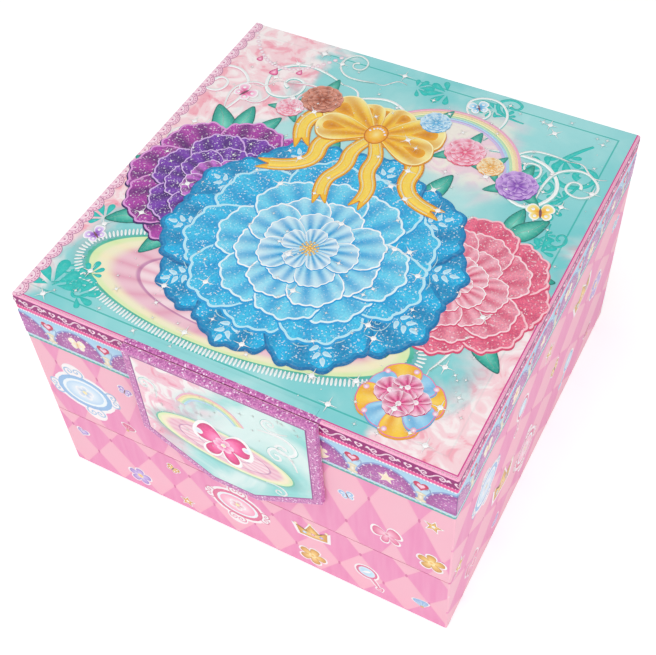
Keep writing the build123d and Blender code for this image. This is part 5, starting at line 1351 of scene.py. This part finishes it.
# ================================================================= the dancer
# A moulded vinyl doll, painted by hand: fair skin, a rose bodice, pale tights and satin shoes with
# a coiled bun. She is fixed to the turntable's pin, and folds forward under the lid.
head_high = 4.5
head = head_high * millimetre
fold_axis = (0.0, 22.0 * millimetre, 82.2 * millimetre)
doll_frame = Matrix(((head, 0, 0, fold_axis[0]), (0, 0, -head, fold_axis[1]), (0, head, 0, fold_axis[2]),
                     (0, 0, 0, 1)))
joints_of_doll = [
    (0.0, 0.0, 4.5, 0.46, 0.38), (0.0, 0.0, 5.35, 0.33, 0.28), (0.0, -0.03, 6.0, 0.44, 0.36),
    (0.0, 0.0, 6.4, 0.34, 0.22), (0.0, 0.0, 6.62, 0.16, 0.16), (0.0, -0.02, 7.1, 0.15, 0.15),
    (0.2, 0.0, 4.35, 0.36, 0.36), (0.12, 0.0, 3.6, 0.31, 0.31), (0.05, 0.0, 2.8, 0.22, 0.22),
    (0.02, 0.06, 2.05, 0.25, 0.25), (0.0, 0.0, 1.3, 0.14, 0.14), (0.0, 0.0, 0.8, 0.12, 0.12),
    (-0.26, -0.05, 4.3, 0.34, 0.34), (-0.75, -0.2, 3.87, 0.29, 0.28), (-1.2, -0.35, 3.45, 0.2, 0.2),
    (-0.8, -0.27, 3.17, 0.21, 0.2), (-0.35, -0.18, 2.8, 0.13, 0.12), (-0.08, -0.12, 2.6, 0.09, 0.08)]
hips = (6, 12)
links_of_doll = [(0 if joint in hips else joint - 1, joint) for joint in range(1, len(joints_of_doll))]
for side in (-1, 1):
    shoulder = len(joints_of_doll)
    joints_of_doll += [(side * 0.48, 0.0, 6.32, 0.17, 0.17), (side * 0.74, -0.03, 6.75, 0.13, 0.13),
                       (side * 1.24, -0.12, 7.7, 0.11, 0.11), (side * 1.1, -0.2, 8.65, 0.10, 0.10),
                       (side * 0.64, -0.26, 9.4, 0.07, 0.07), (side * 0.34, -0.29, 9.68, 0.07, 0.05),
                       (side * 0.16, -0.3, 9.78, 0.04, 0.03)]
    links_of_doll += [(3, shoulder)] + [(shoulder + step, shoulder + step + 1) for step in range(6)]


def carry_to_doll(piece, material, levels=0):
    """Smooths a piece modelled in heads, puts it in the doll's place and lets it ride with her."""
    select_only(piece)
    bpy.ops.object.transform_apply(location=True, rotation=True, scale=True)
    if levels:
        smoothing = piece.modifiers.new("smooth", "SUBSURF")
        smoothing.levels = levels
        smoothing.render_levels = levels
        bpy.ops.object.modifier_apply(modifier="smooth")
    bpy.ops.object.shade_smooth()
    piece.data.transform(doll_frame)
    piece.data.materials.clear()
    piece.data.materials.append(material)
    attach(piece, "figure")


def painted_vinyl(name):
    """Matt paint on vinyl; her own axes in heads: across, towards her back, and up."""
    material, shader = new_finish(name, 0.45, Subsurface_Weight=0.0, Coat_Weight=0.15)
    place, x, y, z = coordinates(shader)
    across = x / head
    back = (z - fold_axis[2]) / head
    level = (fold_axis[1] - y) / head
    relief(shader, noise(place, 1800, 2.0), 0.00001)
    return material, shader, place, across, back, level


def oval_mark(across, level, centre, wide, high):
    """1 within an oval of these half sizes, in heads."""
    off_u = (across - centre[0]) / wide
    off_v = (level - centre[1]) / high
    reach = off_u ** 2.0 + off_v ** 2.0
    return 1.0 - rise(reach, 0.8, 1.2)


material, shader, place, across, _, level = painted_vinyl("painted vinyl body")
skin = mix(noise(place, 150, 2.0), "#F6CDB4", "#FBDAC6")
tights = mix(noise(place, 200, 2.0), "#FBE3E6", "#FFF1F1")
bodice = mix(noise(place, 500, 3.0), "#E0438C", "#F06CA8")
neckline = 6.25 - (abs(across) - 0.28) ** 2.0 * 1.6
dressed = (level < neckline) * (abs(across) < 0.52)
colour = mix(dressed, skin, bodice)
colour = mix(level < 4.35, colour, tights)
toes = calc("MAXIMUM", level < 1.25, (level < 2.95) * (across < -0.12))
paint(shader, mix(toes, colour, "#F78FB8"))
skeleton = bpy.data.meshes.new("dancer")
skeleton.from_pydata([point[:3] for point in joints_of_doll], links_of_doll, [])
dancer = put_in_scene("dancer", skeleton)
select_only(dancer)
flesh = dancer.modifiers.new("flesh", "SKIN")
flesh.branch_smoothing = 0.7
for joint, girth in zip(skeleton.skin_vertices[0].data, joints_of_doll):
    joint.radius = girth[3:]
skeleton.skin_vertices[0].data[0].use_root = True
bpy.ops.object.modifier_apply(modifier="flesh")
carry_to_doll(dancer, material, 2)
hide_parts("ballerina_doll")

# Her foot's eye on the pin, and the stub she stands on.
for name, kind, bevel, settings in (
        ("dancer_foot_eye", "cylinder", 0.05, {"vertices": 32, "radius": 0.46, "depth": 0.42,
                                               "rotation": (0, math.radians(90), 0)}),
        ("dancer_stand", "cone", 0.04, {"vertices": 28, "radius1": 0.34, "radius2": 0.16, "depth": 0.72,
                                        "location": (0, 0, 0.56)})):
    piece = primitive(kind, name, **settings)
    with edit_mode():
        bpy.ops.mesh.bevel(offset=bevel, segments=2)
    carry_to_doll(piece, material)

# Her head has a plain doll's face: two eyes with lashes, a small mouth and a blush.
material, shader, place, across, back, level = painted_vinyl("painted vinyl face")
colour = mix(noise(place, 150, 2.0), "#F8D0B8", "#FCDDCB")
in_front = back < -0.1
apart = abs(across)
for centre, wide, high, ink, strength in (((0.21, 7.27), 0.10, 0.07, "#F58FA0", 0.55),
                                          ((0.155, 7.42), 0.062, 0.045, "#FFFFFF", 1.0),
                                          ((0.155, 7.42), 0.034, 0.042, "#3C6EA8", 1.0),
                                          ((0.155, 7.42), 0.018, 0.022, "#1A1A22", 1.0),
                                          ((0.16, 7.468), 0.070, 0.012, "#5A3A26", 1.0),
                                          ((0.155, 7.55), 0.070, 0.010, "#9A6A3C", 1.0),
                                          ((0.0, 7.175), 0.060, 0.020, "#D8405E", 1.0)):
    mark = oval_mark(apart, level, centre, wide, high) * in_front
    colour = mix(mark * strength, colour, ink)
paint(shader, colour)
face_piece = primitive("uv_sphere", "dancer_head", segments=40, ring_count=28, location=(0, -0.01, 7.42))
for vertex in face_piece.data.vertices:
    across_side, towards_back, up = vertex.co
    jaw = 1 - 0.22 * max(0.0, -up) ** 1.5
    nose = 0.075 * math.exp(-((across_side / 0.12) ** 2 + ((up + 0.18) / 0.13) ** 2)) if towards_back < 0 else 0.0
    vertex.co = (across_side * 0.37 * jaw, (towards_back - nose) * 0.40 * (1 - 0.1 * max(0.0, -up)), up * 0.46)
carry_to_doll(face_piece, material)

material, shader, place, *_ = painted_vinyl("painted chestnut hair")
strands = noise(add_node(place, "Mapping", {"Vector": place, "Scale": (2600, 300, 300)}), 1.0, 3.0)
paint(shader, mix(rise(strands, 0.35, 0.65), "#7A4A26", "#B07A42"))
relief(shader, strands, 0.00012)
hair = primitive("uv_sphere", "dancer_hair", segments=36, ring_count=24, location=(0, 0.035, 7.46))
with edit_mode():
    bpy.ops.mesh.select_all(action="SELECT")
    bpy.ops.mesh.bisect(plane_co=(0, -0.24, 7.52), plane_no=(0, 0.86, 0.5), clear_inner=True, use_fill=True)
for vertex in hair.data.vertices:
    vertex.co = (vertex.co.x * 0.41, vertex.co.y * 0.43, vertex.co.z * 0.49)
carry_to_doll(hair, material)
bun = primitive("uv_sphere", "dancer_bun", segments=28, ring_count=18, location=(0, 0.42, 7.78))
for vertex in bun.data.vertices:
    twist = math.atan2(vertex.co.y, vertex.co.x)
    groove = 1 + 0.05 * math.cos(3 * twist + 9 * vertex.co.z)
    vertex.co = (vertex.co.x * 0.25 * groove, vertex.co.y * 0.23 * groove, vertex.co.z * 0.24)
carry_to_doll(bun, material)
hair_band = primitive("torus", "dancer_hair_band", major_radius=0.2, minor_radius=0.035, major_segments=28,
                      minor_segments=8, location=(0, 0.32, 7.66), rotation=(math.radians(-35), 0, 0))
carry_to_doll(hair_band, brass)

# Her tutu is cut from stiff pink net: three gathered rings, each crimped into ruffles at its edge
# and stitched down at her waist.
material, shader = new_finish("stiff pink net", 0.6, Sheen_Weight=0.4)
place = coordinates(shader)[0]
flat = add_node(place, "Mapping", {"Vector": place, "Scale": (2600, 200, 2600)})
mesh_cells = add_node(place, "TexVoronoi", {"Vector": flat, "Scale": 1.0}, feature="DISTANCE_TO_EDGE")
thread = 1.0 - rise(mesh_cells, 0.10, 0.2)
spangle = rise(noise(place, 1300, 1.0), 0.72, 0.76)
paint(shader, mix(spangle, "#FBB6D3", "#FFFFFF"))
feed(shader, "Alpha", calc("MINIMUM", 1.0, thread * 0.75 + 0.25))
waist_level = 21.5 / head_high
tutu_waist = 0.42
tutu_rim = 2.30
layers_of_net = []
for layer, (reach, lift, ruffles, depth) in enumerate(((1.0, -0.10, 15, 0.10), (0.94, 0.0, 17, 0.10),
                                                       (0.86, 0.10, 14, 0.09))):
    net = primitive("circle", vertices=180, radius=tutu_waist)
    with edit_mode():
        reached = tutu_waist
        for ring in (0.6, 0.85, 1.1, 1.4, 1.7, 2.0, tutu_rim * reach):
            bpy.ops.mesh.extrude_region()
            bpy.ops.transform.resize(value=(ring / reached,) * 3, center_override=(0, 0, 0))
            reached = ring
    for vertex in net.data.vertices:
        bearing = math.atan2(vertex.co.y, vertex.co.x)
        out_share = (math.hypot(vertex.co.x, vertex.co.y) - tutu_waist) / (tutu_rim - tutu_waist)
        wave = math.sin(ruffles * bearing + layer) + 0.35 * math.sin((2 * ruffles + 3) * bearing + 2 * layer)
        vertex.co.z = waist_level + lift * (0.3 + 0.7 * out_share) + 0.75 * depth * out_share * wave
    layers_of_net.append(net)
select_only(*layers_of_net)
bpy.ops.object.join()
tutu = bpy.context.object
tutu.name = "dancer_tutu"
carry_to_doll(tutu, material)
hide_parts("tutu")
